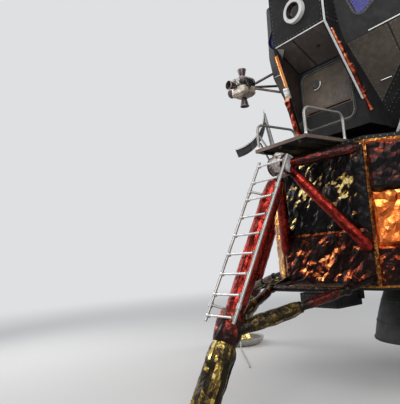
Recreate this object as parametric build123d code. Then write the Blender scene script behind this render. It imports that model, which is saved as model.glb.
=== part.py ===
from build123d import *
import os
from math import cos, radians, sin, tan

os.makedirs("parts", exist_ok=True)

# Two-stage lunar lander standing on its four legs, in millimetres.
# Z is up and the ground is Z = 0. The forward hatch, porch and ladder face -Y,
# and the crew's left-hand side is +X.

# Fits
SEAT = 0.3                  # gap where a piece rests on a curved or cut seat
RUNNING = 6.0               # gap round a hatch or a swinging piece
PIN_CLEARANCE = 0.6         # radial play of a pin in its eye
HINGE_EYE = 12.0
HINGE_PIN = 6.0
HINGE_WIDTH = 40.0
HINGE_EAR = 16.0
HINGE_PLAY = 1.0            # end play between an eye and its ears
HINGE_SETBACK = 8.0         # pin's line, back from the edge of the opening
HINGE_LIFT = 14.0           # pin's line, above the face that carries it
HINGE_STRAP = 46.0          # strap's length on the moving panel

# Descent stage
STAGE_REACH = 2108.0        # centre line to the face behind each leg
STAGE_HALF = 686.0          # half width of that face
STAGE_BOTTOM = 1477.0
STAGE_TOP = 3130.0
DECK_THICKNESS = 45.0
BAY_RADIUS = 700.0          # engine bay, open below
BAY_TOP = 2860.0
SHIELD_INSET = 70.0         # base heat shield, in from the stage's outline
SHIELD_THICKNESS = 35.0
SHIELD_HOLE = 656.0
SKIRT_THICKNESS = 22.0
SKIRT_DROP = 60.0

# Landing gear, drawn for the front leg
PAD_CENTRE = 4242.0
PAD_RADIUS = 470.0
PAD_FLAT = 270.0            # flat part of the sole
PAD_RIM = 128.0             # height of the rim's lower edge
PAD_LIP = 22.0
PAD_FLOOR = 70.0            # height of the dished top at its lowest ring
PAD_SIDE = (135.0, 38.0)    # a point on the rounded sole, out from its flat part and up
PAD_EDGE = 24.0             # width of the rim
PAD_BOWL = (330.0, 22.0)    # a point on the dished top: radius, and height over its floor
PAD_HUB = 215.0             # radius where the dished top meets the hub
BALL_RADIUS = 85.0
BALL_HEIGHT = 255.0
SOCKET_WALL = 42.0
SOCKET_ABOVE_BALL = 30.0
STRUT_TOP_REACH = 2730.0
STRUT_TOP = 2940.0
CYLINDER_RADIUS = 92.0
PISTON_RADIUS = 100.0       # piston with its film wrap
NECK_RADIUS = 44.0
NECK_LENGTH = 190.0
NECK_TAPER = 40.0           # piston swells out of its neck over this length
HEAD_TAPER = (190.0, 120.0) # cylinder's shoulder, below the strut's head
COLLAR_HEIGHT = 1210.0      # where the secondary struts meet the primary strut
COLLAR_RADIUS = 122.0
COLLAR_LENGTH = 200.0
SECONDARY_OUTER = 60.0
SECONDARY_INNER = 44.0
SECONDARY_SHARE = 0.58      # outer cylinder's share of a secondary strut
TRUSS_HALF = 560.0
TRUSS_REACH = 2520.0
TRUSS_HEIGHT = 1500.0
TRUSS_TUBE = 34.0
TRUSS_INNER_HALF = 260.0    # inner feet of the deployment truss on the stage
TRUSS_FOOT_RISE = 130.0
OUTRIGGER_TUBE = 54.0
OUTRIGGER_FOOT_RISE = 430.0 # lower tubes' feet, above the stage's bottom
OUTRIGGER_UPPER_DROP = 70.0 # upper tubes' feet, below the stage's top
NODE_RADIUS = 118.0
NODE_LENGTH = 230.0
PROBE_RADIUS = 13.0
PROBE_LENGTH = 1702.0
PROBE_HEADING = 55.0        # degrees from across the leg towards the stage
PROBE_KNEE = 190.0          # from the pad's rim to the middle of the bend
PROBE_BEND = 60.0           # half length of the slanted run at the bend
PROBE_INSET = 14.0          # hinge, in from the rim's edge

# Porch and ladder
PORCH_HALF = 406.0
PORCH_LENGTH = 1143.0
PORCH_BACK = 1590.0
PORCH_THICKNESS = 40.0
RIDGE_COUNT = 12            # tread strips across the porch
RIDGE_WIDTH = 24.0
RIDGE_HEIGHT = 12.0
RIDGE_MARGIN = (50.0, 80.0) # from the porch's sides and its ends
RAIL_RADIUS = 16.0
RAIL_HEIGHT = 325.0
RAIL_FRONT_SETBACK = 40.0
RAIL_REAR_SETBACK = 420.0
LADDER_HALF = 225.0
LADDER_OFFSET = 145.0       # rails' centre line, out from the strut's centre line
LADDER_TUBE = 17.0
RUNG_RADIUS = 13.0
RUNG_PITCH = 229.0
RUNG_COUNT = 9
LADDER_START = 60.0         # first rung, along the strut from its top
LADDER_TAIL = 60.0          # rails past the first and last rung

# Descent engine
GIMBAL_HEIGHT = 2060.0
RING_INNER = 292.0
RING_OUTER = 345.0
RING_HEIGHT = 70.0
GIMBAL_PIN = 24.0
GIMBAL_EYE = (60.0, 55.0)   # half width and half height of the eye's block on the bay's wall
GIMBAL_EYE_DEPTH = 90.0
THROAT_RADIUS = 150.0
THROAT_HEIGHT = 1930.0
BELL_EXIT_RADIUS = 750.0
BELL_EXIT_HEIGHT = 570.0
BELL_MIDDLE = (560.0, 1240.0)   # radius and height of a point on the bell's side
BELL_WALL = 14.0
CHAMBER_RADIUS = 215.0
CHAMBER_TOP = 2560.0
INJECTOR_RADIUS = 150.0
INJECTOR_TOP = 2740.0

# Landing radar under the stage
RADAR_BOX = (680.0, 560.0, 190.0)
RADAR_CENTRE = (-640.0, -1330.0, 1240.0)
RADAR_LUG = 26.0
RADAR_PIN = 14.0
RADAR_PIN_SETBACK = 60.0    # pin's line, forward of the box's back
RADAR_PIN_RISE = 30.0
RADAR_HANGER_HALF = 45.0
RADAR_CHAMFER = 40.0

# Stowage pallet in the front left quarter
PALLET_HALF = 560.0
PALLET_DEPTH = 300.0
PALLET_LOW = 1700.0
PALLET_HIGH = 2760.0
PALLET_TOP_SLOPE = 60.0     # tray's back edge is lower, so that it swings out
PALLET_SWELL = 150.0
PALLET_HINGES = (-380.0, 380.0)

# Ascent stage
ASCENT_BOTTOM = 3300.0
FITTING_HALF = 60.0
FITTING_PLACE = (820.0, 540.0)
CABIN_BACK = 686.0          # forward of the centre line
CABIN_WALL = 60.0
CABIN_OUTLINE = [           # half width, height
    (620.0, 3400.0),
    (1000.0, 3750.0),
    (1168.0, 4250.0),
    (1168.0, 4950.0),
    (830.0, 5480.0),
    (420.0, 5740.0),
]
FACE_INNER = (465.0, 1900.0, 4410.0)    # window panels' lower edge, inboard: half width, reach, height
FACE_OUTER = (1168.0, 1480.0, 4640.0)   # and outboard
WINDOW_TILT = 9.0           # degrees, the top of the panel leaning out
CHEEK_TILT = 27.0
FOREHEAD = (2000.0, 5330.0) # forward reach and height of a line on the sloping brow
FOREHEAD_SLOPE = 55.0       # degrees from level
FACE_SPLIT = 1300.0         # front face ends and cabin shell starts here
NOSE_HALF = 465.0
NOSE_WALL = 25.0
NOSE_REACH = 2200.0
NOSE_LIP = 4650.0
NOSE_TOP = 5420.0
NOSE_FOOT = 3700.0
ALCOVE_LIP_HALF = 390.0     # alcove's half width at its lip
ALCOVE_FOOT_HALF = 490.0    # and at the foot of the nose's slanted edges
NOSE_SIDE = 55.0            # thickness of the alcove's side walls
PANEL_HALF = 405.0
HATCH_PLANE = 1753.0
HATCH_WALL = 50.0
HATCH_SIZE = 813.0
HATCH_LOW = 3520.0
HATCH_CORNER = 120.0
HATCH_HINGES = (3690.0, 4160.0)
CEILING_LOW = 4380.0        # alcove's ceiling where it meets the hatch wall
HATCH_VALVE = (-140.0, 4130.0, 55.0, 18.0)  # across, height, radius and half depth
PANEL_DEPTH = 150.0
PANEL_LOW = 4450.0
PANEL_HIGH = 5230.0
WINDOW_CORNERS = [(640.0, 4690.0), (510.0, 5210.0), (1065.0, 5130.0)]
WINDOW_FILLET = 45.0
GLASS = 14.0
GLASS_SET_IN = 20.0
DOCK_WINDOW = (127.0, 305.0)
DOCK_WINDOW_PLACE = (620.0, 1180.0)

# Midsection
MID_HALF = 1100.0
MID_DEPTH = 686.0
MID_SHOULDER = 5060.0
MID_ROOF_HALF = 560.0
MID_ROOF = 5630.0
MID_ROOM_HALF = 660.0
MID_ROOM_BACK = 600.0
MID_DECK = 4077.0
ROOF_THICKNESS = 80.0
ENGINE_WELL = 405.0
ENGINE_FLANGE = 60.0
ENGINE_COLLAR = 40.0
CHAMBER_HALF = 200.0
DRUM_RADIUS = 330.0         # cover over the ascent engine, in the cabin
DRUM_HEIGHT = 450.0
DRUM_EDGE = 45.0

# Docking tunnel
TUNNEL_BORE = 406.0
TUNNEL_WALL = 55.0
TUNNEL_TOP = 6083.0
TUNNEL_FLANGE = 30.0
TUNNEL_FLANGE_HEIGHT = 55.0
DROGUE_HOLE = 64.0
DROGUE_DEPTH = 330.0
DROGUE_WALL = 12.0
OVERHEAD_HATCH_THICKNESS = 55.0
OVERHEAD_HINGES = (-110.0, 110.0)

# Tank bays, one on each side: name, side, centre from the centre line
TANK_BAYS = [("left", 1, 1811.0), ("right", -1, 1229.0)]
TANK_RADIUS = 627.0
TANK_LIFT = 110.0           # bays' lowest point, clear of the stage's deck
TANK_CHAMFER = 0.42         # cut corner, as a share of the radius
AFT_BAY_HALF = 1000.0
AFT_BAY_BACK = 2010.0
AFT_BAY_LOW = 3560.0
AFT_BAY_HIGH = 5400.0
AFT_BAY_CHAMFER = 240.0

# Thruster clusters
QUAD_PLACE = 1676.0
QUAD_HEIGHT = 4640.0
QUAD_BODY = 250.0
NOZZLE_LENGTH = 190.0
NOZZLE_THROAT = 22.0
NOZZLE_EXIT = 72.0
NOZZLE_WALL = 6.0
BOOM_TUBE = 20.0
DEFLECTOR_HALF = 280.0
DEFLECTOR_SHEET = 12.0
BEND_SHARE = 0.7                   # sheet's thickness, across and down at its bend
DEFLECTOR_REACH = 2080.0           # sheet's upper edge, out along the diagonal
DEFLECTOR_TOP = 4150.0
DEFLECTOR_MIDDLE_REACH = 2205.0    # a point on the sheet's bend
DEFLECTOR_MIDDLE_TOP = 3775.0
DEFLECTOR_END_REACH = 2560.0       # sheet's outer edge
DEFLECTOR_END_TOP = 3570.0
DEFLECTOR_TUBE = 15.0
DEFLECTOR_EDGE = 30.0              # struts' ends, in from the sheet's sides
DEFLECTOR_DROP = 60.0              # upper struts' ends, under the sheet's edge
DEFLECTOR_OUTER_FOOT = 620.0       # struts' feet across the stage's deck
DEFLECTOR_INNER_FOOT = 160.0
DEFLECTOR_SETBACK = 60.0
FRONT_BOOMS = [(-1250.0, 4430.0), (-1250.0, 4860.0), (-820.0, 4640.0)]   # feet: along Y, height
REAR_BOOMS = [(1250.0, 4400.0), (1250.0, 4880.0), (1600.0, 4640.0)]
QUAD_CHAMFER = 30.0
BOOM_MEET = 60.0            # booms meet this far in from the housing's centre

# Antennas
RR_BASE = (0.0, -1420.0)
RR_PEDESTAL_TOP = 6020.0
RR_PEDESTAL_RADIUS = 90.0
RR_PEDESTAL_SETBACK = 120.0 # post's centre line, behind the shaft's axis
RR_PLATE = 50.0             # plate on the post that carries the ears
RR_SHAFT = 6210.0           # height of the shaft's axis
RR_SHAFT_DRUM = 44.0
RR_TRUNNION_REACH = 120.0   # trunnion's axis, forward of the shaft's axis
RR_TRUNNION_HALF = 70.0
RR_STANDOFF = 85.0          # dish's back, forward of the trunnion's axis
RR_ARM = 18.0               # thickness of the shaft unit's two arms
RR_LEAN = 35.0              # degrees that the dish looks up from straight ahead
RR_DISH_RADIUS = 305.0
RR_DISH_DEPTH = 110.0
RR_HALF = 90.0              # shaft's half length between its ears
DISH_WALL = 10.0
YOKE_ARM = 30.0
TRUNNION_PIN = 12.0
FEED_REACH = 130.0          # dish's feed, forward of its rim
GEARBOX = (90.0, 110.0)     # width and length of the box behind a dish
SB_BASE = (-820.0, -1010.0)
SB_MAST_TOP = 6390.0
SB_MAST_RADIUS = 45.0
SB_ELEVATION = 6622.0
SB_DISH_RADIUS = 330.0
SB_DISH_DEPTH = 95.0
SB_HALF = 80.0
SB_LEAN = 40.0
WHIPS = [                   # foot, then tip, of each thin rod antenna
    ((640.0, -150.0, 5480.0), (820.0, -150.0, 6480.0)),
    ((-640.0, -150.0, 5480.0), (-980.0, -420.0, 6130.0)),
]
WHIP_RADIUS = 11.0
WHIP_BASE = (34.0, 130.0)   # radius and length of a rod's foot
TRACKING_LIGHT_DROP = 55.0  # below the middle of the nose's front
TRACKING_LIGHT_DEPTH = 60.0
TRACKING_LIGHT_BORE = 96.0
TRACKING_LIGHT_FLOOR = 20.0
TRACKING_LIGHT_RADIUS = 155.0

# Legs: name, turn about Z from the front leg, whether it has a contact probe
LEGS = [("front", 0, False), ("left", 90, True), ("rear", 180, True), ("right", 270, True)]
# Quarters: name, side along X, side along Y
QUARTERS = [
    ("front_left", 1, -1),
    ("rear_left", 1, 1),
    ("rear_right", -1, 1),
    ("front_right", -1, -1),
]

FRONT_VIEW = Plane(origin=(0, 0, 0), x_dir=(1, 0, 0), z_dir=(0, -1, 0))
SIDE_VIEW = Plane.YZ
nodes = {}


def slab(outline, plane, start, end):
    """Closed outline on a plane, extruded between two distances along its normal."""
    return pushed(Polygon(*outline, align=None), plane, start, end)


def pushed(sketch, plane, start, end):
    """Sketch laid on a plane and extruded between two distances along its normal."""
    return extrude(plane.offset(start) * sketch, end - start, dir=plane.z_dir)


def brick(low, high):
    """Box between two corners."""
    size = [b - a for a, b in zip(low, high)]
    centre = [(a + b) / 2 for a, b in zip(low, high)]
    return Pos(*centre) * Box(*size)


def rod(start, end, radius):
    """Straight round bar from one point to another."""
    run = Vector(*end) - Vector(*start)
    return extrude(Plane(origin=start, z_dir=run) * Circle(radius), run.length)


def bent_rod(points, radius, corner):
    """Round bar along straight runs joined by arcs."""
    path = FilletPolyline(*points, radius=corner)
    return sweep(Plane(origin=path @ 0, z_dir=path % 0) * Circle(radius), path=path)


def turned(profile):
    """Solid of revolution about Z from a closed outline of radius and height."""
    return revolve(FRONT_VIEW * make_face(profile), Axis.Z)


def hinge_bracket(place):
    """Two ears and their pin. The pin lies along X, and the carrying face is below it."""
    inner = HINGE_WIDTH / 2 + HINGE_PLAY
    outer = inner + HINGE_EAR
    bracket = rod((-outer, 0, 0), (outer, 0, 0), HINGE_PIN)
    for near, far in ((-outer, -inner), (inner, outer)):
        bracket += rod((near, 0, 0), (far, 0, 0), HINGE_EYE)
        bracket += brick((near, -HINGE_LIFT, -2 * HINGE_EYE), (far, 0, HINGE_SETBACK))
    return place * bracket


def hinge_leaf(place):
    """Eye round the same pin, with a strap that runs out along Z on the moving panel."""
    half = HINGE_WIDTH / 2
    edge = HINGE_SETBACK + RUNNING
    leaf = rod((-half, 0, 0), (half, 0, 0), HINGE_EYE)
    leaf += brick((-half, -HINGE_EYE, 0), (half, -2, edge + HINGE_STRAP))
    leaf += brick((-half, -HINGE_LIFT, edge + 2), (half, -2, edge + HINGE_STRAP))
    leaf -= rod((-half, 0, 0), (half, 0, 0), HINGE_PIN + PIN_CLEARANCE)
    return place * leaf


def hinge_places(origin, x_dir, z_dir, stations):
    """Where each hinge of a row stands, along the X direction of the hinge."""
    plane = Plane(origin=origin, x_dir=x_dir, z_dir=z_dir)
    return [plane.location * Pos(station, 0, 0) for station in stations]


def mirrored(outline):
    """Whole outline from its right-hand half, lowest point first."""
    return outline + [(-x, z) for x, z in reversed(outline)]


def trimmed(body, point, normal):
    """Body with everything beyond a plane taken away."""
    return split(body, bisect_by=Plane(origin=point, z_dir=normal), keep=Keep.BOTTOM)


# Descent stage: an octagonal box of panels round a central engine bay
def octagon(inset):
    """Corners of the stage's plan, moved in by a distance."""
    reach = STAGE_REACH - inset
    half = STAGE_HALF - inset * tan(radians(22.5))
    corners = []
    for c, s in ((1, 0), (0, 1), (-1, 0), (0, -1)):
        for x, y in ((reach, -half), (reach, half)):
            corners.append((c * x - s * y, s * x + c * y))
    return corners


DIAGONAL_REACH = (STAGE_REACH + STAGE_HALF) / 2 ** 0.5
QUARTER_TURN = {"front_left": 45, "rear_left": 135, "rear_right": 225, "front_right": 315}


def descent_structure():
    body = slab(octagon(0), Plane.XY, STAGE_BOTTOM, STAGE_TOP)
    body -= Pos(0, 0, (STAGE_BOTTOM + BAY_TOP) / 2) * Cylinder(BAY_RADIUS, BAY_TOP - STAGE_BOTTOM)
    recess = brick(
        (-PALLET_HALF - RUNNING, -DIAGONAL_REACH, PALLET_LOW - RUNNING),
        (PALLET_HALF + RUNNING, PALLET_DEPTH + RUNNING - DIAGONAL_REACH, PALLET_HIGH + RUNNING),
    )
    body -= Rot(0, 0, QUARTER_TURN["front_left"]) * recess
    for place in pallet_hinges():
        body += hinge_bracket(place)
    for side in (-1, 1):
        body += gimbal_eye(side)
    return body


def pallet_hinges():
    """Hinge line under the stowage pallet, on the stage's front left face."""
    origin = (0, -DIAGONAL_REACH - HINGE_LIFT, PALLET_LOW - RUNNING - HINGE_SETBACK)
    row = hinge_places(origin, (-1, 0, 0), (0, 0, 1), PALLET_HINGES)
    return [Rot(0, 0, QUARTER_TURN["front_left"]) * place for place in row]


def gimbal_eye(side):
    """Bracket on the bay's wall with the eye for one pin of the gimbal ring."""
    inner = RING_OUTER + RUNNING
    wide, high = GIMBAL_EYE
    bracket = brick(
        (inner, -wide, GIMBAL_HEIGHT - high),
        (BAY_RADIUS + 5, wide, GIMBAL_HEIGHT + high),
    )
    bracket -= rod(
        (inner - 1, 0, GIMBAL_HEIGHT),
        (inner + GIMBAL_EYE_DEPTH, 0, GIMBAL_HEIGHT),
        GIMBAL_PIN + PIN_CLEARANCE,
    )
    return Rot(0, 0, 0 if side > 0 else 180) * bracket


def base_heat_shield():
    top = STAGE_BOTTOM
    plate = slab(octagon(SHIELD_INSET), Plane.XY, top - SHIELD_THICKNESS, top)
    skirt_low = top - SHIELD_THICKNESS - SKIRT_DROP
    skirt = Pos(0, 0, (top + skirt_low) / 2) * Cylinder(
        SHIELD_HOLE + SKIRT_THICKNESS, top - skirt_low
    )
    hole = Pos(0, 0, (top + skirt_low) / 2) * Cylinder(SHIELD_HOLE, 2 * (top - skirt_low))
    return plate + skirt - hole


def descent_deck():
    return slab(octagon(0), Plane.XY, STAGE_TOP, STAGE_TOP + DECK_THICKNESS)


# Landing gear, drawn for the front leg and turned to the others
STRUT_FOOT = Vector(0, -PAD_CENTRE, BALL_HEIGHT)
STRUT_HEAD = Vector(0, -STRUT_TOP_REACH, STRUT_TOP)
STRUT_RUN = STRUT_HEAD - STRUT_FOOT
STRUT_LENGTH = STRUT_RUN.length
STRUT_PLANE = Plane(origin=STRUT_FOOT, x_dir=(1, 0, 0), z_dir=STRUT_RUN)


def on_strut(along, outward=0.0, across=0.0):
    """Point beside the strut's axis: distance up from the ball, outboard and across."""
    return (STRUT_PLANE * Pos(across, -outward, along)).position


COLLAR_ALONG = (COLLAR_HEIGHT - BALL_HEIGHT) * STRUT_LENGTH / STRUT_RUN.Z


def primary_strut():
    ball = BALL_RADIUS * 0.9
    piston_start = NECK_LENGTH
    collar_low = COLLAR_ALONG - COLLAR_LENGTH / 2
    collar_high = COLLAR_ALONG + COLLAR_LENGTH / 2
    head = STRUT_LENGTH - NODE_RADIUS - SEAT
    profile = Polyline(
        (0, ball),
        (NECK_RADIUS, ball * 0.7),
        (NECK_RADIUS, piston_start),
        (PISTON_RADIUS, piston_start + NECK_TAPER),
        (PISTON_RADIUS, collar_low),
        (COLLAR_RADIUS, collar_low),
        (COLLAR_RADIUS, collar_high),
        (CYLINDER_RADIUS, collar_high + 30),
        (CYLINDER_RADIUS, head - HEAD_TAPER[0]),
        (NECK_RADIUS, head - HEAD_TAPER[1]),
        (NECK_RADIUS, head),
        (0, head),
        close=True,
    )
    strut = revolve(FRONT_VIEW * make_face(profile), Axis.Z) + Sphere(BALL_RADIUS)
    return STRUT_PLANE * strut


def outrigger():
    """Four tubes from the stage's corners to the head of the primary strut."""
    head = STRUT_HEAD
    hub = Pos(*head) * Rot(0, 90, 0) * Cylinder(NODE_RADIUS, NODE_LENGTH)
    frame = hub
    feet = [(STAGE_TOP - OUTRIGGER_UPPER_DROP), (STAGE_BOTTOM + OUTRIGGER_FOOT_RISE)]
    inside = STAGE_REACH - 40
    for side in (-1, 1):
        for height in feet:
            foot = (side * (STAGE_HALF - OUTRIGGER_TUBE), -inside, height)
            frame += rod(foot, (side * 60, head.Y, head.Z), OUTRIGGER_TUBE)
    return trimmed(frame, (0, -STAGE_REACH, 0), (0, 1, 0))


def truss_point(side):
    return Vector(side * TRUSS_HALF, -TRUSS_REACH, TRUSS_HEIGHT)


def deployment_truss():
    """Hinged frame that carries the inboard ends of two secondary struts."""
    frame = rod(truss_point(-1), truss_point(1), TRUSS_TUBE)
    inside = STAGE_REACH - 60
    for side in (-1, 1):
        frame += Pos(*truss_point(side)) * Sphere(TRUSS_TUBE * 1.7)
        outer = (side * (STAGE_HALF - TRUSS_TUBE), -inside, STAGE_BOTTOM + TRUSS_FOOT_RISE)
        inner = (side * TRUSS_INNER_HALF, -inside, STAGE_BOTTOM + TRUSS_FOOT_RISE)
        frame += rod(truss_point(side), outer, TRUSS_TUBE)
        frame += rod(truss_point(side), inner, TRUSS_TUBE * 0.8)
    return trimmed(frame, (0, -STAGE_REACH, 0), (0, 1, 0))


def secondary_strut(side):
    """Telescopic strut from the primary strut's collar to the deployment truss."""
    start = on_strut(COLLAR_ALONG, 0, side * COLLAR_RADIUS * 0.6)
    end = truss_point(side)
    change = start + (end - start) * SECONDARY_SHARE
    strut = rod(start, change, SECONDARY_OUTER) + rod(change, end, SECONDARY_INNER)
    return strut


def footpad():
    """Round dished pad with a socket for the strut's ball."""
    socket = BALL_RADIUS + SEAT + 2
    boss = socket + SOCKET_WALL
    seat = BALL_HEIGHT - BALL_RADIUS - SEAT
    boss_top = BALL_HEIGHT + SOCKET_ABOVE_BALL
    rim_top = PAD_RIM + PAD_LIP
    rim_in = PAD_RADIUS - PAD_EDGE
    side_out, side_up = PAD_SIDE
    bowl_radius, bowl_rise = PAD_BOWL
    outline = [
        Line((0, 0), (PAD_FLAT, 0)),
        ThreePointArc((PAD_FLAT, 0), (PAD_FLAT + side_out, side_up), (PAD_RADIUS, PAD_RIM)),
        Line((PAD_RADIUS, PAD_RIM), (PAD_RADIUS, rim_top)),
        Line((PAD_RADIUS, rim_top), (rim_in, rim_top)),
        ThreePointArc((rim_in, rim_top), (bowl_radius, PAD_FLOOR + bowl_rise), (PAD_HUB, PAD_FLOOR)),
        Line((PAD_HUB, PAD_FLOOR), (boss + PAD_EDGE, seat - PAD_EDGE)),
        Line((boss + PAD_EDGE, seat - PAD_EDGE), (boss, boss_top)),
        Line((boss, boss_top), (socket, boss_top)),
        Line((socket, boss_top), (socket, seat)),
        Line((socket, seat), (0, seat)),
        Line((0, seat), (0, 0)),
    ]
    return Pos(0, -PAD_CENTRE, 0) * turned(Curve() + outline)


def contact_probe():
    """Thin feeler rod, hinged on the pad's rim and folded down along the ground."""
    lean = radians(PROBE_HEADING)
    out = Vector(cos(lean), sin(lean), 0)
    edge = Vector(0, -PAD_CENTRE, 0) + out.rotate(Axis.Z, -12) * (PAD_RADIUS - PROBE_INSET)
    level_end = edge + out * (PROBE_KNEE - PROBE_BEND)
    ground_start = edge + out * (PROBE_KNEE + PROBE_BEND)
    tip = edge + out * PROBE_LENGTH
    rim_height = PAD_RIM + PAD_LIP + PROBE_RADIUS + SEAT
    points = [
        (edge.X, edge.Y, rim_height),
        (level_end.X, level_end.Y, rim_height),
        (ground_start.X, ground_start.Y, PROBE_RADIUS),
        (tip.X, tip.Y, PROBE_RADIUS),
    ]
    return bent_rod(points, PROBE_RADIUS, 40)


# Porch over the front outrigger, with its rails and the ladder below it
PORCH_TOP = STAGE_TOP + DECK_THICKNESS + PORCH_THICKNESS
PORCH_FRONT = PORCH_BACK + PORCH_LENGTH


def porch():
    low = STAGE_TOP + DECK_THICKNESS
    deck = brick((-PORCH_HALF, -PORCH_FRONT, low), (PORCH_HALF, -PORCH_BACK, PORCH_TOP))
    side, end = RIDGE_MARGIN
    pitch = (PORCH_LENGTH - 2 * end) / RIDGE_COUNT
    for index in range(RIDGE_COUNT):
        front = PORCH_BACK + end + index * pitch
        deck += brick(
            (side - PORCH_HALF, -front - RIDGE_WIDTH, PORCH_TOP),
            (PORCH_HALF - side, -front, PORCH_TOP + RIDGE_HEIGHT),
        )
    return deck


def porch_handrails():
    front = PORCH_FRONT - RAIL_FRONT_SETBACK
    back = PORCH_BACK + RAIL_REAR_SETBACK
    rails = []
    for side in (-1, 1):
        x = side * (PORCH_HALF - RAIL_RADIUS - 8)
        rails.append(bent_rod(
            [
                (x, -front, PORCH_TOP),
                (x, -front, PORCH_TOP + RAIL_HEIGHT),
                (x, -back, PORCH_TOP + RAIL_HEIGHT),
                (x, -back, PORCH_TOP),
            ],
            RAIL_RADIUS,
            90,
        ))
    return Compound(children=rails)


FIRST_RUNG = STRUT_LENGTH - LADDER_START
LAST_RUNG = FIRST_RUNG - RUNG_PITCH * (RUNG_COUNT - 1)


def ladder_rail(side):
    """One rail in front of the front strut, with the two arms that carry it."""
    rail = rod(
        on_strut(LAST_RUNG - LADDER_TAIL, LADDER_OFFSET, side * LADDER_HALF),
        on_strut(FIRST_RUNG + LADDER_TAIL, LADDER_OFFSET, side * LADDER_HALF),
        LADDER_TUBE,
    )
    for along in (FIRST_RUNG - 1.5 * RUNG_PITCH, LAST_RUNG + 0.5 * RUNG_PITCH):
        rail += rod(
            on_strut(along, LADDER_OFFSET, side * LADDER_HALF),
            on_strut(along, 0, side * CYLINDER_RADIUS * 0.5),
            LADDER_TUBE * 0.8,
        )
    return rail


def ladder_rung(index):
    along = FIRST_RUNG - index * RUNG_PITCH
    return rod(
        on_strut(along, LADDER_OFFSET, -LADDER_HALF),
        on_strut(along, LADDER_OFFSET, LADDER_HALF),
        RUNG_RADIUS,
    )


# Descent engine hung in a two-axis gimbal
def gimbal_ring():
    low = GIMBAL_HEIGHT - RING_HEIGHT / 2
    ring = Pos(0, 0, GIMBAL_HEIGHT) * (
        Cylinder(RING_OUTER, RING_HEIGHT) - Cylinder(RING_INNER, RING_HEIGHT)
    )
    for side in (-1, 1):
        ring += rod(
            (side * (RING_OUTER - 20), 0, GIMBAL_HEIGHT),
            (side * (RING_OUTER + 80), 0, GIMBAL_HEIGHT),
            GIMBAL_PIN,
        )
        ring -= rod(
            (0, side * (RING_INNER - 5), GIMBAL_HEIGHT),
            (0, side * (RING_OUTER + 5), GIMBAL_HEIGHT),
            GIMBAL_PIN + PIN_CLEARANCE,
        )
    return ring


def descent_engine():
    """Chamber, injector head and bell, with the two pins that lie in the gimbal ring."""
    exit_in = BELL_EXIT_RADIUS - BELL_WALL
    throat_in = THROAT_RADIUS - BELL_WALL
    middle, middle_height = BELL_MIDDLE
    outline = [
        Line((0, INJECTOR_TOP), (INJECTOR_RADIUS, INJECTOR_TOP)),
        Line((INJECTOR_RADIUS, INJECTOR_TOP), (INJECTOR_RADIUS, CHAMBER_TOP)),
        Line((INJECTOR_RADIUS, CHAMBER_TOP), (CHAMBER_RADIUS, CHAMBER_TOP - 60)),
        Line((CHAMBER_RADIUS, CHAMBER_TOP - 60), (CHAMBER_RADIUS, THROAT_HEIGHT + 130)),
        Line((CHAMBER_RADIUS, THROAT_HEIGHT + 130), (THROAT_RADIUS, THROAT_HEIGHT)),
        ThreePointArc(
            (THROAT_RADIUS, THROAT_HEIGHT),
            (middle, middle_height),
            (BELL_EXIT_RADIUS, BELL_EXIT_HEIGHT),
        ),
        Line((BELL_EXIT_RADIUS, BELL_EXIT_HEIGHT), (exit_in, BELL_EXIT_HEIGHT)),
        ThreePointArc(
            (exit_in, BELL_EXIT_HEIGHT),
            (middle - BELL_WALL, middle_height - BELL_WALL / 2),
            (throat_in, THROAT_HEIGHT),
        ),
        Line((throat_in, THROAT_HEIGHT), (0, THROAT_HEIGHT)),
        Line((0, THROAT_HEIGHT), (0, INJECTOR_TOP)),
    ]
    engine = turned(Curve() + outline)
    for side in (-1, 1):
        engine += rod(
            (0, side * (CHAMBER_RADIUS - 60), GIMBAL_HEIGHT),
            (0, side * RING_OUTER, GIMBAL_HEIGHT),
            GIMBAL_PIN,
        )
    return engine


# Landing radar: a flat antenna box that tilts between two positions under the stage
RADAR_PIVOT = (
    RADAR_CENTRE[0],
    RADAR_CENTRE[1] + RADAR_BOX[1] / 2 - RADAR_PIN_SETBACK,
    RADAR_CENTRE[2] + RADAR_PIN_RISE,
)


def landing_radar():
    x, y, z = RADAR_CENTRE
    wide, deep, high = RADAR_BOX
    box = Pos(x, y, z) * Box(wide, deep, high)
    box = chamfer(box.edges().filter_by(Axis.Z), RADAR_CHAMFER)
    for side in (-1, 1):
        box += rod(
            (x + side * (wide / 2 - 5), RADAR_PIVOT[1], RADAR_PIVOT[2]),
            (x + side * (wide / 2 + RUNNING + RADAR_LUG), RADAR_PIVOT[1], RADAR_PIVOT[2]),
            RADAR_PIN,
        )
    return box


def radar_bracket():
    """Two hanger plates under the base heat shield."""
    x, y, z = RADAR_CENTRE
    wide = RADAR_BOX[0]
    top = STAGE_BOTTOM - SHIELD_THICKNESS
    plates = []
    for side in (-1, 1):
        near = x + side * (wide / 2 + RUNNING)
        far = near + side * RADAR_LUG
        plate = brick(
            (min(near, far), RADAR_PIVOT[1] - RADAR_HANGER_HALF, RADAR_PIVOT[2] - RADAR_HANGER_HALF),
            (max(near, far), RADAR_PIVOT[1] + RADAR_HANGER_HALF, top),
        )
        plate -= rod(
            (near - side, RADAR_PIVOT[1], RADAR_PIVOT[2]),
            (far + side, RADAR_PIVOT[1], RADAR_PIVOT[2]),
            RADAR_PIN + PIN_CLEARANCE,
        )
        plates.append(plate)
    return Compound(children=plates)


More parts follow.
